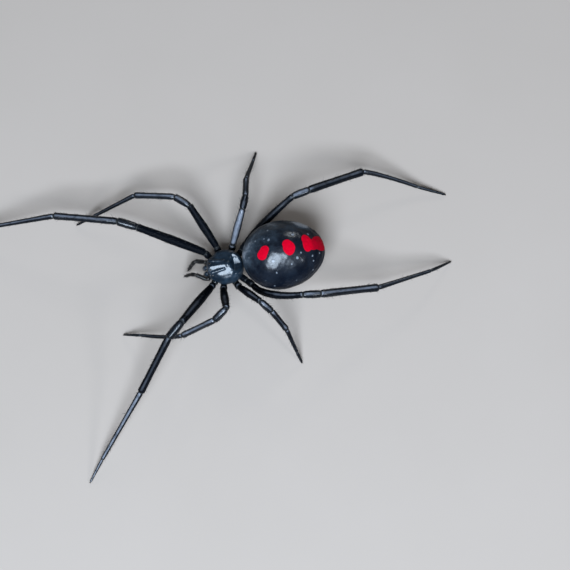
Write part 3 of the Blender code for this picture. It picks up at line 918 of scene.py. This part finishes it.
def abdomen_local(unit):
    """Point of the abdomen's skin from its middle, before it is turned."""
    x, y, z = (unit[axis] * ABDOMEN_HALF_SIZES[axis] for axis in range(3))
    egg = 1 - ABDOMEN_EGG * unit.x
    belly = 1 - ABDOMEN_FLAT_BELLY * max(0.0, -unit.z)
    point = Vector((x, y * egg, z * egg * belly))
    arc = abdomen_back(point)
    height = 0.0
    if point.z > 0:
        for pit_arc, aside, radius, depth in MUSCLE_PITS:
            distance = math.hypot(arc - pit_arc, abs(point.y) - aside) / radius
            height -= depth * fading(distance)
        hollow_arc, hollow_y, reach, depth = SKIN_HOLLOW
        distance = math.hypot(arc - hollow_arc, point.y - hollow_y) / reach
        height -= depth * fading(distance)
    else:
        cover_x, aside, long, wide, swell = LUNG_COVER
        oval = math.hypot((point.x - cover_x) / long, (abs(point.y) - aside) / wide)
        seam_at, seam_width, seam_depth = LUNG_SEAM
        seam = seam_depth * fading((oval - seam_at) / seam_width)
        height += swell * (math.exp(-(oval**4)) - seam)
        furrow_x, furrow_width, depth, bend, half_length = BELLY_FURROW
        off_furrow = (point.x - (furrow_x + bend * point.y * point.y)) / furrow_width
        height -= depth * math.exp(-(off_furrow**2) - (point.y / half_length) ** 2)
    for scale, size in SKIN_WAVES:
        height += size * (noise.noise(point * scale) - SKIN_WAVE_LEVEL)
    fold_height, fold_closeness, fold_wander = REAR_FOLDS
    rear = max(0.0, unit.x) ** 2
    folds = math.sin(fold_closeness * arc + fold_wander * noise.noise(point))
    height += fold_height * rear * folds
    return point + unit * height


def abdomen_point(unit):
    """Point of the abdomen's skin for a point of the unit sphere."""
    return Matrix.Rotation(ABDOMEN_TURN, 3, "Z") @ abdomen_local(unit) + Vector(ABDOMEN_CENTRE)


RED_PATCHES = (
    # middle round the back and aside, half sizes, turn in degrees
    ((-1.38, 0.15), (0.34, 0.33), 0),
    ((-1.52, -0.04), (0.38, 0.34), 0),
    ((-1.66, -0.22), (0.39, 0.38), 0),
    ((0.40, -0.08), (0.45, 0.58), 0),
    ((0.31, 0.22), (0.36, 0.39), 0),
    ((1.90, 0.42), (0.40, 0.42), 0),
    ((1.96, 0.08), (0.44, 0.66), -8),
    ((2.45, -0.02), (0.66, 0.43), 0),
    ((3.50, 0.13), (1.15, 0.61), 0),
)
# Hourglass of the belly: x of its waist from the middle, half length, half waist, flare
HOURGLASS = (0.20, 0.80, 0.13, 0.50)
HOURGLASS_BELOW = 1.0
PATCH_EDGE = 0.05
# Painted shade: between these distances round the back the red patches darken towards the rear, where
# the back curves down
LAST_PATCH = (2.15, 2.75)
# Painted reflection: places where a pale painted sheen lies on the abdomen, thick on the right flank
# and thin at the front
PAINTED_SHEEN_PLACES = (
    # point from the middle, reach, how thick the painted sheen is there
    ((1.9, 2.0, 1.1), 1.2, 0.90),
    ((-3.0, 0.4, 1.1), 1.5, 0.22),
)
PATCH_RED = colour(0.66, 0.0, 0.017)
# Darker red, for random mottling and for painted shade towards the rear
PATCH_SHADED_AND_MOTTLED_RED = colour(0.41, 0.0, 0.013)
SKIN_BLACK = colour(0.0025, 0.0045, 0.0095)
SKIN_SLATE = colour(0.0090, 0.0135, 0.0220)
# Colours of the painted sheen: thin and thick pale painted reflection of light from above on the black
# skin
THIN_PAINTED_SHEEN = colour(0.050, 0.068, 0.088)
THICK_PAINTED_SHEEN = colour(0.40, 0.43, 0.48)
PALE_FLECK = colour(0.19, 0.21, 0.24)


def abdomen_wires(start):
    """Wires of a point from the abdomen's middle, in millimetres: the place, and its x, y and z."""
    centre = Matrix.Rotation(-ABDOMEN_TURN, 3, "Z") @ (UNDER_SHIELD / MM + Vector(ABDOMEN_CENTRE))
    inputs = {
        "Vector": start.add("ShaderNodeTexCoord", output="Object"),
        "Location": tuple(-centre),
        "Rotation": (0.0, 0.0, -ABDOMEN_TURN),
        "Scale": (1 / MM,) * 3,
    }
    place = start.add("ShaderNodeMapping", inputs)
    parts = {name: start.add("ShaderNodeSeparateXYZ", {0: place}, output=name) for name in "XYZ"}
    return place, parts["X"], parts["Y"], parts["Z"]


def back_wire(x, z):
    """Wire of the distance round the back, as abdomen_back gives it."""
    flat = ABDOMEN_HALF_SIZES[2] / ABDOMEN_HALF_SIZES[0]
    return (math.pi / 2 - x.math("ARCTAN2", z, x * flat)) * ARC_RADIUS


def red_markings(place, x, y, z):
    """(1 inside the red patches and the hourglass, how far painted shade darkens their red towards the
    rear) as wires.
    """
    arc = back_wire(x, z)
    wobble = (grain(place, 2.2, detail=3.0) - 0.5) * 0.30
    inside = None
    for (middle, aside), (long, wide), turn in RED_PATCHES:
        along, across = arc - middle, y - aside
        cosine, sine = math.cos(math.radians(turn)), math.sin(math.radians(turn))
        first = (along * cosine + across * sine) / long
        second = (across * cosine - along * sine) / wide
        depth = 1 - (first * first + second * second) ** 0.5
        inside = depth if inside is None else place.math("MAXIMUM", inside, depth)
    waist_x, length, waist, flare = HOURGLASS
    off_waist = place.math("ABSOLUTE", x - waist_x)
    off_side = waist + off_waist * flare - place.math("ABSOLUTE", y)
    glass = place.math("MINIMUM", off_side, length - off_waist)
    glass = place.math("MINIMUM", glass, 0.0 - z - HOURGLASS_BELOW)
    inside = place.math("MAXIMUM", inside, glass)
    mask = (inside + wobble * 0.5).within(-PATCH_EDGE, PATCH_EDGE)
    return mask, arc.within(*LAST_PATCH)


def pit_markings(place, x, y, z):
    """1 on a pale spot in each muscle pit of the back, 0 elsewhere."""
    arc = back_wire(x, z)
    aside = place.math("ABSOLUTE", y)
    inside = None
    for pit_arc, pit_aside, radius, depth in MUSCLE_PITS:
        along, across = arc - (pit_arc + 0.4 * radius), aside - (pit_aside - 0.3 * radius)
        spot = 1 - (along * along + across * across) ** 0.5 / (0.75 * radius)
        inside = spot if inside is None else place.math("MAXIMUM", inside, spot)
    return (inside + 1.8 * (grain(place, 4.5) - 0.5)).within(0.0, 0.4)


def abdomen_finish():
    """Satin black skin with its red patches, pale flecks and, in two strengths, a painted sheen: pale
    painted reflection of light from above, which also thins the coat.
    """
    material, start, shader = finish_of(
        "abdomen_skin", coat_roughness=0.25, coat_ior=1.6, specular_ior_level=0.04
    )
    place, x, y, z = abdomen_wires(start)
    mask, deep = red_markings(place, x, y, z)
    clouds = grain(place, 0.9, detail=6.0, roughness=0.62)
    black = clouds.within(0.35, 0.72).blended(SKIN_BLACK, SKIN_SLATE)
    scattered = cells(place, 1.7).within(0.16, 0.08)
    scattered = scattered * cells(place, 1.7, output="Color").within(0.56, 0.66)
    flecks = place.math("MAXIMUM", scattered, pit_markings(place, x, y, z))
    # Painted reflection: the painted sheen grows towards the right side and the front, where light from
    # above is painted onto the black skin
    wide = grain(place, 0.75, detail=7.0, roughness=0.72) + 0.10 * y - 0.055 * x
    for middle, reach, thick in PAINTED_SHEEN_PLACES:
        ends = {0: place, 1: middle}
        far = place.add("ShaderNodeVectorMath", ends, output="Value", operation="DISTANCE")
        wide += thick * (1 - far / reach).within(0.0, 1.0)
    # A thin painted sheen, then a thick pale one where it is strongest; the coat is thinner under it
    painted_sheen_share = wide.within(0.50, 0.95)
    skin_with_painted_sheen = painted_sheen_share.blended(black, THIN_PAINTED_SHEEN)
    skin_with_painted_sheen = wide.within(0.80, 1.15).blended(skin_with_painted_sheen, THICK_PAINTED_SHEEN)
    dull = flecks.blended(skin_with_painted_sheen, PALE_FLECK)
    # Painted shade: the red darkens towards the rear of the back
    red = deep.blended(PATCH_RED, PATCH_SHADED_AND_MOTTLED_RED)
    shade = grain(place, 5.0, detail=4.0).within(0.25, 0.6)
    mottled = (0.6 + 0.4 * shade).blended(PATCH_SHADED_AND_MOTTLED_RED, red)
    plug(mask.blended(dull, mottled), shader, "Base Color")
    pores = cells(place, 9.0).within(0.0, 0.55)
    leather = grain(place, 7.0, detail=5.0, roughness=0.6)
    creases = grain(place, 2.6, detail=3.0, roughness=0.5)
    plug(0.30 + 0.16 * leather + 0.35 * mask, shader, "Roughness")
    polish = (0.06 + 0.94 * z.within(1.3, 2.4)) * (1 - mask) * (1 - 0.7 * painted_sheen_share)
    plug(0.65 * polish, shader, "Coat Weight")
    plug(relief(pores * 0.10 + leather * 0.14 + creases, 0.08), shader, "Normal")
    return material


abdomen = shaped_ball(abdomen_point, columns=224, rows=160, poles_ahead=True)
add_piece("abdomen_skin", abdomen, abdomen_finish(), "abdomen_skin", "abdomen")


# Spinnerets
# Six short, two-jointed silk spigots on a low ring under the rear of the abdomen, with the
# small lobe that covers the vent above them. Their brown skin is paler at the tips.

SPINNERETS_BELOW = math.radians(50)
SPINNERET_BASE = (
    # height, radius
    (-0.30, 0.52),
    (0.00, 0.48),
    (0.12, 0.44),
    (0.20, 0.38),
    (0.235, 0.30),
    (0.24, 0.10),
)
BASE_SOFTNESS = 0.2
SPINNERETS = (
    # angle round the base, distance from its middle, length, root radius
    (35, 0.21, 0.50, 0.135),
    (145, 0.21, 0.44, 0.130),
    (-145, 0.21, 0.44, 0.130),
    (-35, 0.21, 0.50, 0.135),
    (90, 0.07, 0.34, 0.075),
    (-90, 0.07, 0.34, 0.075),
)
SPINNERET_SPLAY = math.radians(14)
SPINNERET_FOOT = 0.11
SPINNERET_OUTLINE = (
    # share of the length, share of the root radius
    (-0.3, 0.9),
    (0.0, 1.0),
    (0.3, 1.0),
    (0.56, 0.94),
    (0.60, 0.80),
    (0.64, 0.72),
    (0.85, 0.62),
    (1.0, 0.40),
)
VENT_LOBE_OFFSET = -0.36
VENT_LOBE_OUTLINE = ((-0.1, 0.20), (0.04, 0.19), (0.10, 0.15), (0.15, 0.09), (0.17, 0.03))
VENT_LOBE_SOFTNESS = 0.3
SPINNERET_LIFT = 0.10
SPINNERET_BROWN = (colour(0.016, 0.012, 0.010), colour(0.042, 0.031, 0.025))
SPINNERET_TIP_BROWN = colour(0.14, 0.105, 0.075)

level, fall = math.cos(SPINNERETS_BELOW), -math.sin(SPINNERETS_BELOW)
rear_unit = Vector((level, 0.0, fall))
spin_root = abdomen_point(rear_unit)
spin_out = Vector((level / ABDOMEN_HALF_SIZES[0], 0.0, fall / ABDOMEN_HALF_SIZES[2])).normalized()
spin_across = Vector((0.0, 1.0, 0.0))
spin_down = spin_out.cross(spin_across).normalized()
spinneret_finish, start, shader = finish_of("spinneret_skin", coat_weight=0.1)
place = body_place(start)
soft = start.add("ShaderNodeAttribute", output="Fac", attribute_name="softness")
clouds = grain(place, 6.0, detail=5.0)
brown = clouds.blended(*SPINNERET_BROWN)
plug(soft.within(0.5, 1.0).blended(brown, SPINNERET_TIP_BROWN), shader, "Base Color")
plug(0.36 + 0.2 * clouds, shader, "Roughness")
plug(relief(clouds, 0.012), shader, "Normal")

bm = bmesh.new()
layer = bm.verts.layers.float.new("softness")
start_point = spin_root + spin_out * SPINNERET_LIFT
base = [(start_point + spin_out * height, radius) for height, radius in SPINNERET_BASE]
sweep(bm, base, 40, [(layer, [BASE_SOFTNESS] * len(base))])
for angle, distance, length, radius in SPINNERETS:
    angle = math.radians(angle)
    aside = spin_across * math.sin(angle) + spin_down * math.cos(angle)
    lean = (spin_out + aside * math.tan(SPINNERET_SPLAY)).normalized()
    foot = start_point + spin_out * SPINNERET_FOOT + aside * distance
    cone = [(foot + lean * length * share, radius * width) for share, width in SPINNERET_OUTLINE]
    sweep(bm, cone, 20, [(layer, [max(0.0, share) for share, width in SPINNERET_OUTLINE])])
lobe_root = start_point + spin_out * SPINNERET_FOOT + spin_down * VENT_LOBE_OFFSET
lobe = [(lobe_root + spin_out * height, radius) for height, radius in VENT_LOBE_OUTLINE]
sweep(bm, lobe, 24, [(layer, [VENT_LOBE_SOFTNESS] * len(lobe))])
add_piece("spinnerets_skin", bm, spinneret_finish, "abdomen_skin", "spinnerets")


# Legs
# Eight long legs of black, polished chitin: coxa, trochanter, femur, patella, tibia,
# metatarsus and tarsus, each a hard tube with a rim at its far end. A narrower neck of pale
# membrane joins one to the next, and three claws end each foot.

LEG_PARTS = ("femur", "patella", "tibia", "metatarsus", "tarsus")
LEG_LENGTHS = {
    # of each of those parts
    1: (5.85, 1.65, 5.20, 6.40, 2.15),
    2: (3.97, 1.40, 3.36, 3.95, 1.62),
    3: (3.28, 1.27, 2.15, 2.40, 1.15),
    4: (5.44, 1.46, 5.14, 4.84, 2.40),
}
LEG_WIDTHS = {
    # radius of the coxa, the trochanter and each of those parts
    1: (0.27, 0.29, 0.365, 0.345, 0.295, 0.215, 0.135),
    2: (0.27, 0.29, 0.33, 0.305, 0.26, 0.18, 0.125),
    3: (0.27, 0.29, 0.31, 0.295, 0.25, 0.18, 0.13),
    4: (0.27, 0.29, 0.31, 0.315, 0.32, 0.195, 0.14),
}
COXA_ROOTS = {1: (-0.66, 0.58), 2: (-0.16, 0.74), 3: (0.40, 0.74), 4: (0.92, 0.60)}
HIPS = {1: (-1.40, 1.46), 2: (-0.42, 1.80), 3: (0.90, 1.78), 4: (2.00, 1.74)}
COXA_ROOT_Z = 1.64
COXA_BEND_Z = 1.70
COXA_BEND_AT = 0.60
HIP_Z = 1.98
FOOT_Z = 0.12
LEG_BEND_REACH = 0.30
# How far a part bows away from the body and upwards; the peak says where along it
FEMUR_BOW = (0.0, 0.12)
TUCKED_FEMUR_BOWS = {("left", 4): (0.44, -0.15), ("right", 4): (0.16, -0.15)}
TIBIA_BOW = (0.0, 0.05)
METATARSUS_BOWS = {("left", 2): (-0.13, 0.0), ("right", 4): (0.12, 0.0)}
BOW_PEAK = 0.40
LEG_POSES = {
    # heading and slope in degrees of each segment; a tarsus slopes down to the floor
    ("left", 1): ((-130, 46), (-141, -20), (-129, -28), (-131, -22), (-128, None)),
    ("left", 2): ((-90, 58), (-147, -25), (-170, -35), (165, -30), (165, None)),
    ("left", 3): ((-52, 46), (-47, -25), (-55, -37), (-71, -43), (-71, None)),
    ("left", 4): ((-29, 39), (-3, -19), (2, -23), (12, -17), (22, None)),
    ("right", 1): ((152, 11), (155, 3), (165, -5), (177, -17), (179, None)),
    ("right", 2): ((115, 12), (140, 0), (166, -12), (-166, -20), (-166, None)),
    ("right", 3): ((63, 38), (70, -21), (80, -36), (65, -39), (66, None)),
    ("right", 4): ((33, 24), (15, -10), (15, -21), (-20, -19), (-23, None)),
}
LEG_OUTLINES = (
    ((0.0, 0.90), (0.3, 1.0), (1.0, 1.02)),
    ((0.0, 0.95), (0.5, 1.0), (1.0, 0.92)),
    ((0.0, 0.80), (0.15, 0.88), (0.32, 0.97), (0.50, 1.0), (0.72, 0.90), (0.90, 0.82), (1.0, 0.84)),
    ((0.0, 0.88), (0.5, 1.0), (1.0, 0.94)),
    ((0.0, 0.98), (0.15, 1.0), (0.45, 0.95), (0.75, 0.93), (0.93, 1.0), (1.0, 0.96)),
    ((0.0, 1.10), (0.08, 1.04), (0.35, 0.92), (0.94, 0.74), (1.0, 0.76)),
    ((0.0, 0.95), (0.25, 0.95), (0.7, 0.72), (1.0, 0.50)),
)
CLAWS = (
    # angle aside, length, root radius
    (-26, 0.17, 0.026),
    (26, 0.17, 0.026),
    (0, 0.10, 0.020),
)
CLAW_CLEARANCE = 0.004
CLAW_SINK = 0.04
DULL_HIP = 0.3
LEG_DULLNESS = {
    # how dull each segment is, from 0 to 1, from the femur to the tarsus
    ("left", 1): (1.0, 0.4, 0.9, 0.6, 0.4),
    ("left", 2): (0.9, 0.0, 0.1, 0.1, 0.0),
    ("left", 3): (0.9, 0.0, 0.5, 0.4, 0.3),
    ("left", 4): (0.9, 0.2, 0.2, 0.2, 0.0),
    ("right", 1): (1.0, 0.1, 0.2, 0.3, 0.3),
    ("right", 2): (1.0, 0.0, 0.2, 0.7, 0.7),
    ("right", 3): (0.1, 0.6, 0.6, 0.6, 0.6),
    ("right", 4): (0.6, 0.1, 0.6, 0.4, 0.3),
}
LEG_PAINTED_SHEEN = {
    # how strong the painted sheen, a pale painted highlight, is on each segment, from 0 to 1, from the
    # femur to the tarsus
    ("left", 1): (0.2, 0.1, 0.20, 0.88, 0.84),
    ("left", 2): (0.2, 0.38, 0.75, 0.30, 0.10),
    ("left", 3): (0.25, 0.60, 0.30, 0.10, 0.0),
    ("left", 4): (0.3, 0.70, 0.68, 0.25, 0.0),
    ("right", 1): (0.0, 0.05, 0.65, 0.65, 0.50),
    ("right", 2): (0.05, 0.72, 0.72, 0.40, 0.20),
    ("right", 3): (1.05, 0.50, 0.45, 0.40, 0.30),
    ("right", 4): (0.20, 0.90, 0.35, 0.40, 0.30),
}
DULL_FADE = 0.20


def heading_slope(heading, slope):
    """Unit vector along a heading and a slope, both in radians."""
    level = math.cos(slope)
    return Vector((level * math.cos(heading), level * math.sin(heading), math.sin(slope)))


def leg_corners(side, number):
    """Root, bend and hip of a leg and the far end of each of its segments."""
    sign = SIDES[side]
    root = Vector((COXA_ROOTS[number][0], sign * COXA_ROOTS[number][1], COXA_ROOT_Z))
    hip = Vector((HIPS[number][0], sign * HIPS[number][1], HIP_Z))
    bend = root.lerp(hip, COXA_BEND_AT)
    bend.z = COXA_BEND_Z
    corners = [root, bend, hip]
    for (heading, slope), length in zip(LEG_POSES[side, number], LEG_LENGTHS[number]):
        if slope is None:
            slope = -math.asin((corners[-1].z - FOOT_Z) / length)
        else:
            slope = math.radians(slope)
        corners.append(corners[-1] + heading_slope(math.radians(heading), slope) * length)
    return corners


def leg_bows(side, number, corners):
    """How far each segment bows, away from the body and upwards."""
    bows = [NO_BOW] * (len(corners) - 1)
    femur = TUCKED_FEMUR_BOWS.get((side, number), FEMUR_BOW)
    metatarsus = METATARSUS_BOWS.get((side, number), (0.0, 0.0))
    for index, (away, rise) in ((2, femur), (4, TIBIA_BOW), (5, metatarsus)):
        direction = corners[index + 1] - corners[index]
        outward = DOWN.cross(direction).normalized() * -SIDES[side]
        bows[index] = outward * away - DOWN * rise
    return bows


leg_finish = limb_finish(
    "leg_chitin",
    colour(0.0030, 0.0045, 0.0070),
    colour(0.0085, 0.0105, 0.0140),
    colour(0.008, 0.009, 0.010),
    colour(0.045, 0.047, 0.047),
    (0.22, 0.46),
    0.95,
)
legs = {}
for side, number in LEG_POSES:
    corners = leg_corners(side, number)
    bows = leg_bows(side, number, corners)
    limb = limb_line(corners, bows, LEG_WIDTHS[number], LEG_OUTLINES, LEG_BEND_REACH, BOW_PEAK)
    legs[side, number] = limb
    parts = np.searchsorted(limb.joints[1:-1], np.arange(len(limb.points)), side="right")
    # Dullness, and the painted sheen that paints a pale highlight, step from segment to segment and
    # fade between them
    for mark, hips, segments in (
        (limb.dullness, (DULL_HIP, DULL_HIP), LEG_DULLNESS),
        (limb.paleness, (0.0, 0.0), LEG_PAINTED_SHEEN),
    ):
        stepped = np.array((*hips, *segments[side, number]))[parts]
        mark[:] = smoothed(stepped[:, None], round(DULL_FADE / SAMPLE))[:, 0]
    bm = bmesh.new()
    limb_skin(bm, limb, sides=24)
    nodes = [f"leg{number}_{side}_{part}" for part in LEG_PARTS]
    add_piece(f"leg{number}_{side}_skin", bm, leg_finish, "leg_shell", *nodes)
    bm = bmesh.new()
    tip, tangent = Vector(limb.points[-1]), Vector(limb.tangents[-1])
    ahead = Vector((tangent.x, tangent.y, 0.0)).normalized()
    for angle, length, radius in CLAWS:
        forward = Matrix.Rotation(math.radians(angle), 3, "Z") @ ahead
        stations = claw_stations(Vector((0, 0, 0)), forward, DOWN, length, radius)
        drop = CLAW_CLEARANCE - (stations[-1][0].z - stations[-1][1])
        root = tip - tangent * CLAW_SINK
        root.z = min(root.z, drop) if drop > 0 else root.z
        sweep(bm, [(root + point, width) for point, width in stations], sides=8)
    add_piece(f"leg{number}_{side}_claws", bm, claw_finish, "leg_shell")


# Bristles
# Short, stiff, tapering bristles of dark brown chitin. They lean towards the tip on legs and
# palps, towards the rear on the abdomen and ahead on the shield. Each coat is one mesh, whose
# OFBake map puts every bristle at its root's place on an unrolled skin.

BRISTLE_PATCH = 0.0015
BRISTLE_SINK = 0.02
BRISTLE_BEND = 0.22
MAP_MARGIN = 0.01
MAP_SIZE = 0.98
seed = np.random.default_rng(11)

template = bmesh.new()
sweep(template, (((0, 0, 0), 1.0), ((0, 0, 0.5), 0.75), ((0, 0, 1), 0.08)), sides=3)
template.verts.index_update()
BRISTLE_POINTS = np.array([vertex.co for vertex in template.verts])
BRISTLE_FACES = [[vertex.index for vertex in face.verts] for face in template.faces]
template.free()

Roots = namedtuple("Roots", "points outs lies places")


def unit_rows(rows):
    """Rows of vectors brought to a length of 1."""
    return rows / np.linalg.norm(rows, axis=1, keepdims=True)


def coat(name, roots, lengths, radii, leans, finish, slot):
    """One mesh of bristles that rise off the skin at an angle and bend over along its lie."""
    rise, level = np.sin(leans)[:, None], np.cos(leans)[:, None]
    shafts = unit_rows(roots.outs * rise + roots.lies * level)
    asides = unit_rows(np.cross(shafts, roots.outs))
    uppers = np.cross(asides, shafts)
    along, bend = BRISTLE_POINTS[:, 2], BRISTLE_POINTS[:, 2] ** 2
    points = (
        (roots.points - roots.outs * BRISTLE_SINK)[:, None]
        + shafts[:, None] * lengths[:, None, None] * along[:, None]
        - uppers[:, None] * (BRISTLE_BEND * lengths)[:, None, None] * bend[:, None]
        + asides[:, None] * radii[:, None, None] * BRISTLE_POINTS[:, 0, None]
        + uppers[:, None] * radii[:, None, None] * BRISTLE_POINTS[:, 1, None]
    )
    above = points[..., 2].min(axis=1) > 0
    points = points[above]
    count, size = points.shape[:2]
    starts = range(0, count * size, size)
    faces = [[index + first for index in face] for first in starts for face in BRISTLE_FACES]
    mesh = bpy.data.meshes.new(name)
    mesh.from_pydata(points.reshape(-1, 3) * MM + np.array(UNDER_SHIELD), [], faces)
    corners = np.empty(len(mesh.loops), int)
    mesh.loops.foreach_get("vertex_index", corners)
    around = np.stack([BRISTLE_POINTS[:, 0], BRISTLE_POINTS[:, 1]], -1) * BRISTLE_PATCH
    places = (roots.places[above][:, None] + around).reshape(-1, 2)
    layer = mesh.uv_layers.new(name="OFBake")
    layer.data.foreach_set("uv", places[corners].ravel())
    mesh.shade_smooth()
    mesh.materials.append(finish)
    fasten(name, mesh, slot)


def limb_roots(limb, count, first, last, angles=None):
    """Roots spread over a limb's skin between two shares of its length, off its soft necks."""
    weights = limb.radii * (limb.softness < 0.1)
    order = np.arange(len(weights))
    weights = weights * (order >= first * len(order)) * (order < last * len(order))
    chosen = np.sort(seed.choice(len(weights), size=count, p=weights / weights.sum()))
    turns = seed.uniform(0, math.tau, count) if angles is None else seed.uniform(*angles, count)
    lies = limb.tangents[chosen]
    least = np.eye(3)[np.abs(limb.tangents).max(axis=0).argmin()]
    sides = unit_rows(np.cross(lies, least))
    tops = np.cross(sides, lies)
    outs = np.cos(turns)[:, None] * tops + np.sin(turns)[:, None] * sides
    points = limb.points[chosen] + outs * limb.radii[chosen][:, None]
    places = np.stack([turns / math.tau % 1, chosen / len(weights)], -1)
    return Roots(points, outs, lies, MAP_MARGIN + MAP_SIZE * places)


def bristle_finish(name, dark, light):
    """Chitin of a bristle, uneven in tint and half polished."""
    material, start, shader = finish_of(name)
    place = body_place(start)
    tint = grain(place, 3.0, detail=3.0)
    plug(tint.within(0.4, 0.7).blended(dark, light), shader, "Base Color")
    plug(0.30 + 0.25 * tint, shader, "Roughness")
    plug(relief(tint, 0.002), shader, "Normal")
    return material


leg_bristle_finish = bristle_finish(
    "leg_bristle", colour(0.008, 0.007, 0.007), colour(0.040, 0.032, 0.028)
)
LEG_BRISTLES = {1: 1700, 2: 1100, 3: 800, 4: 1500}
LONG_BRISTLES = 60
COMB_BRISTLES = 14
COMB_SIDE = (math.pi - 0.3, math.pi + 0.3)
for (side, number), limb in legs.items():
    count = LEG_BRISTLES[number]
    groups = [limb_roots(limb, count, 0.05, 0.995), limb_roots(limb, LONG_BRISTLES, 0.12, 0.92)]
    lengths = [seed.uniform(0.12, 0.24, count), seed.uniform(0.30, 0.46, LONG_BRISTLES)]
    radii = [seed.uniform(0.006, 0.009, count), seed.uniform(0.008, 0.011, LONG_BRISTLES)]
    leans = [np.radians(seed.uniform(22, 42, count)), np.radians(seed.uniform(45, 70, LONG_BRISTLES))]
    if number == 4:
        groups.append(limb_roots(limb, COMB_BRISTLES, 0.90, 0.98, angles=COMB_SIDE))
        lengths.append(seed.uniform(0.16, 0.22, COMB_BRISTLES))
        radii.append(np.full(COMB_BRISTLES, 0.012))
        leans.append(np.radians(seed.uniform(25, 35, COMB_BRISTLES)))
    roots = Roots(*(np.concatenate(parts) for parts in zip(*groups)))
    joined = (np.concatenate(values) for values in (lengths, radii, leans))
    coat(f"leg{number}_{side}_bristles", roots, *joined, leg_bristle_finish, "leg_shell")

PALP_BRISTLES = 320
palp_bristle_finish = bristle_finish(
    "feeler_bristle", colour(0.012, 0.010, 0.009), colour(0.055, 0.044, 0.036)
)
for side, limb in palps.items():
    coat(
        f"pedipalp_{side}_bristles",
        limb_roots(limb, PALP_BRISTLES, 0.05, 0.99),
        seed.uniform(0.10, 0.26, PALP_BRISTLES),
        seed.uniform(0.006, 0.009, PALP_BRISTLES),
        np.radians(seed.uniform(28, 55, PALP_BRISTLES)),
        palp_bristle_finish,
        "feeler_shell",
    )


SKIN_ROOT_REACH = 0.01
LIE_SPREAD = 0.16


def skin_roots(surface, count, keep, direction):
    """Roots spread over a shaped ball's skin wherever keep allows, lying along a direction."""
    points, outs, places = [], [], []
    while len(points) < count:
        unit = Vector(seed.normal(size=3)).normalized()
        if not keep(unit):
            continue
        point, out = straight_out(surface, unit, SKIN_ROOT_REACH)
        points.append(point)
        outs.append(out)
        around = math.atan2(unit.y, unit.z) / math.tau + 0.5
        along = math.acos(max(-1, min(1, unit.x))) / math.pi
        places.append((around, along))
    outs = unit_rows(np.array(outs))
    lie = np.array(direction, float) + seed.normal(0, LIE_SPREAD, (count, 3))
    lies = unit_rows(lie - outs * (lie * outs).sum(axis=1, keepdims=True))
    return Roots(np.array(points), outs, lies, MAP_MARGIN + MAP_SIZE * np.array(places))


def abdomen_bristle_finish():
    """Bristles that are red where they grow out of a red patch, and near black elsewhere."""
    material, start, shader = finish_of("abdomen_bristle", specular_ior_level=0.15)
    place, x, y, z = abdomen_wires(start)
    mask, deep = red_markings(place, x, y, z)
    tint = grain(place, 2.0, detail=3.0)
    dark = tint.within(0.4, 0.7).blended(colour(0.003, 0.004, 0.006), colour(0.018, 0.019, 0.022))
    # Painted shade darkens the red of the bristles towards the rear as well
    red = deep.blended(PATCH_RED, PATCH_SHADED_AND_MOTTLED_RED)
    plug(mask.blended(dark, red), shader, "Base Color")
    plug(0.35 + 0.2 * tint, shader, "Roughness")
    return material


ABDOMEN_BRISTLES = 4200
STALK_CLEARANCE = -0.93
REARWARDS = (1.0, 0.0, -0.25)
coat(
    "abdomen_bristles",
    skin_roots(abdomen_point, ABDOMEN_BRISTLES, lambda unit: unit.x > STALK_CLEARANCE, REARWARDS),
    seed.uniform(0.09, 0.19, ABDOMEN_BRISTLES),
    seed.uniform(0.005, 0.008, ABDOMEN_BRISTLES),
    np.radians(seed.uniform(14, 32, ABDOMEN_BRISTLES)),
    abdomen_bristle_finish(),
    "abdomen_skin",
)

SHIELD_BRISTLES = 150
SHIELD_BRISTLE_MARGIN = 0.12
AHEAD = (-1.0, 0.0, 0.2)
coat(
    "shield_bristles",
    skin_roots(shield_point, SHIELD_BRISTLES, lambda unit: unit.z > SHIELD_BRISTLE_MARGIN, AHEAD),
    seed.uniform(0.07, 0.14, SHIELD_BRISTLES),
    seed.uniform(0.005, 0.007, SHIELD_BRISTLES),
    np.radians(seed.uniform(25, 50, SHIELD_BRISTLES)),
    leg_bristle_finish,
    "body_shell",
)
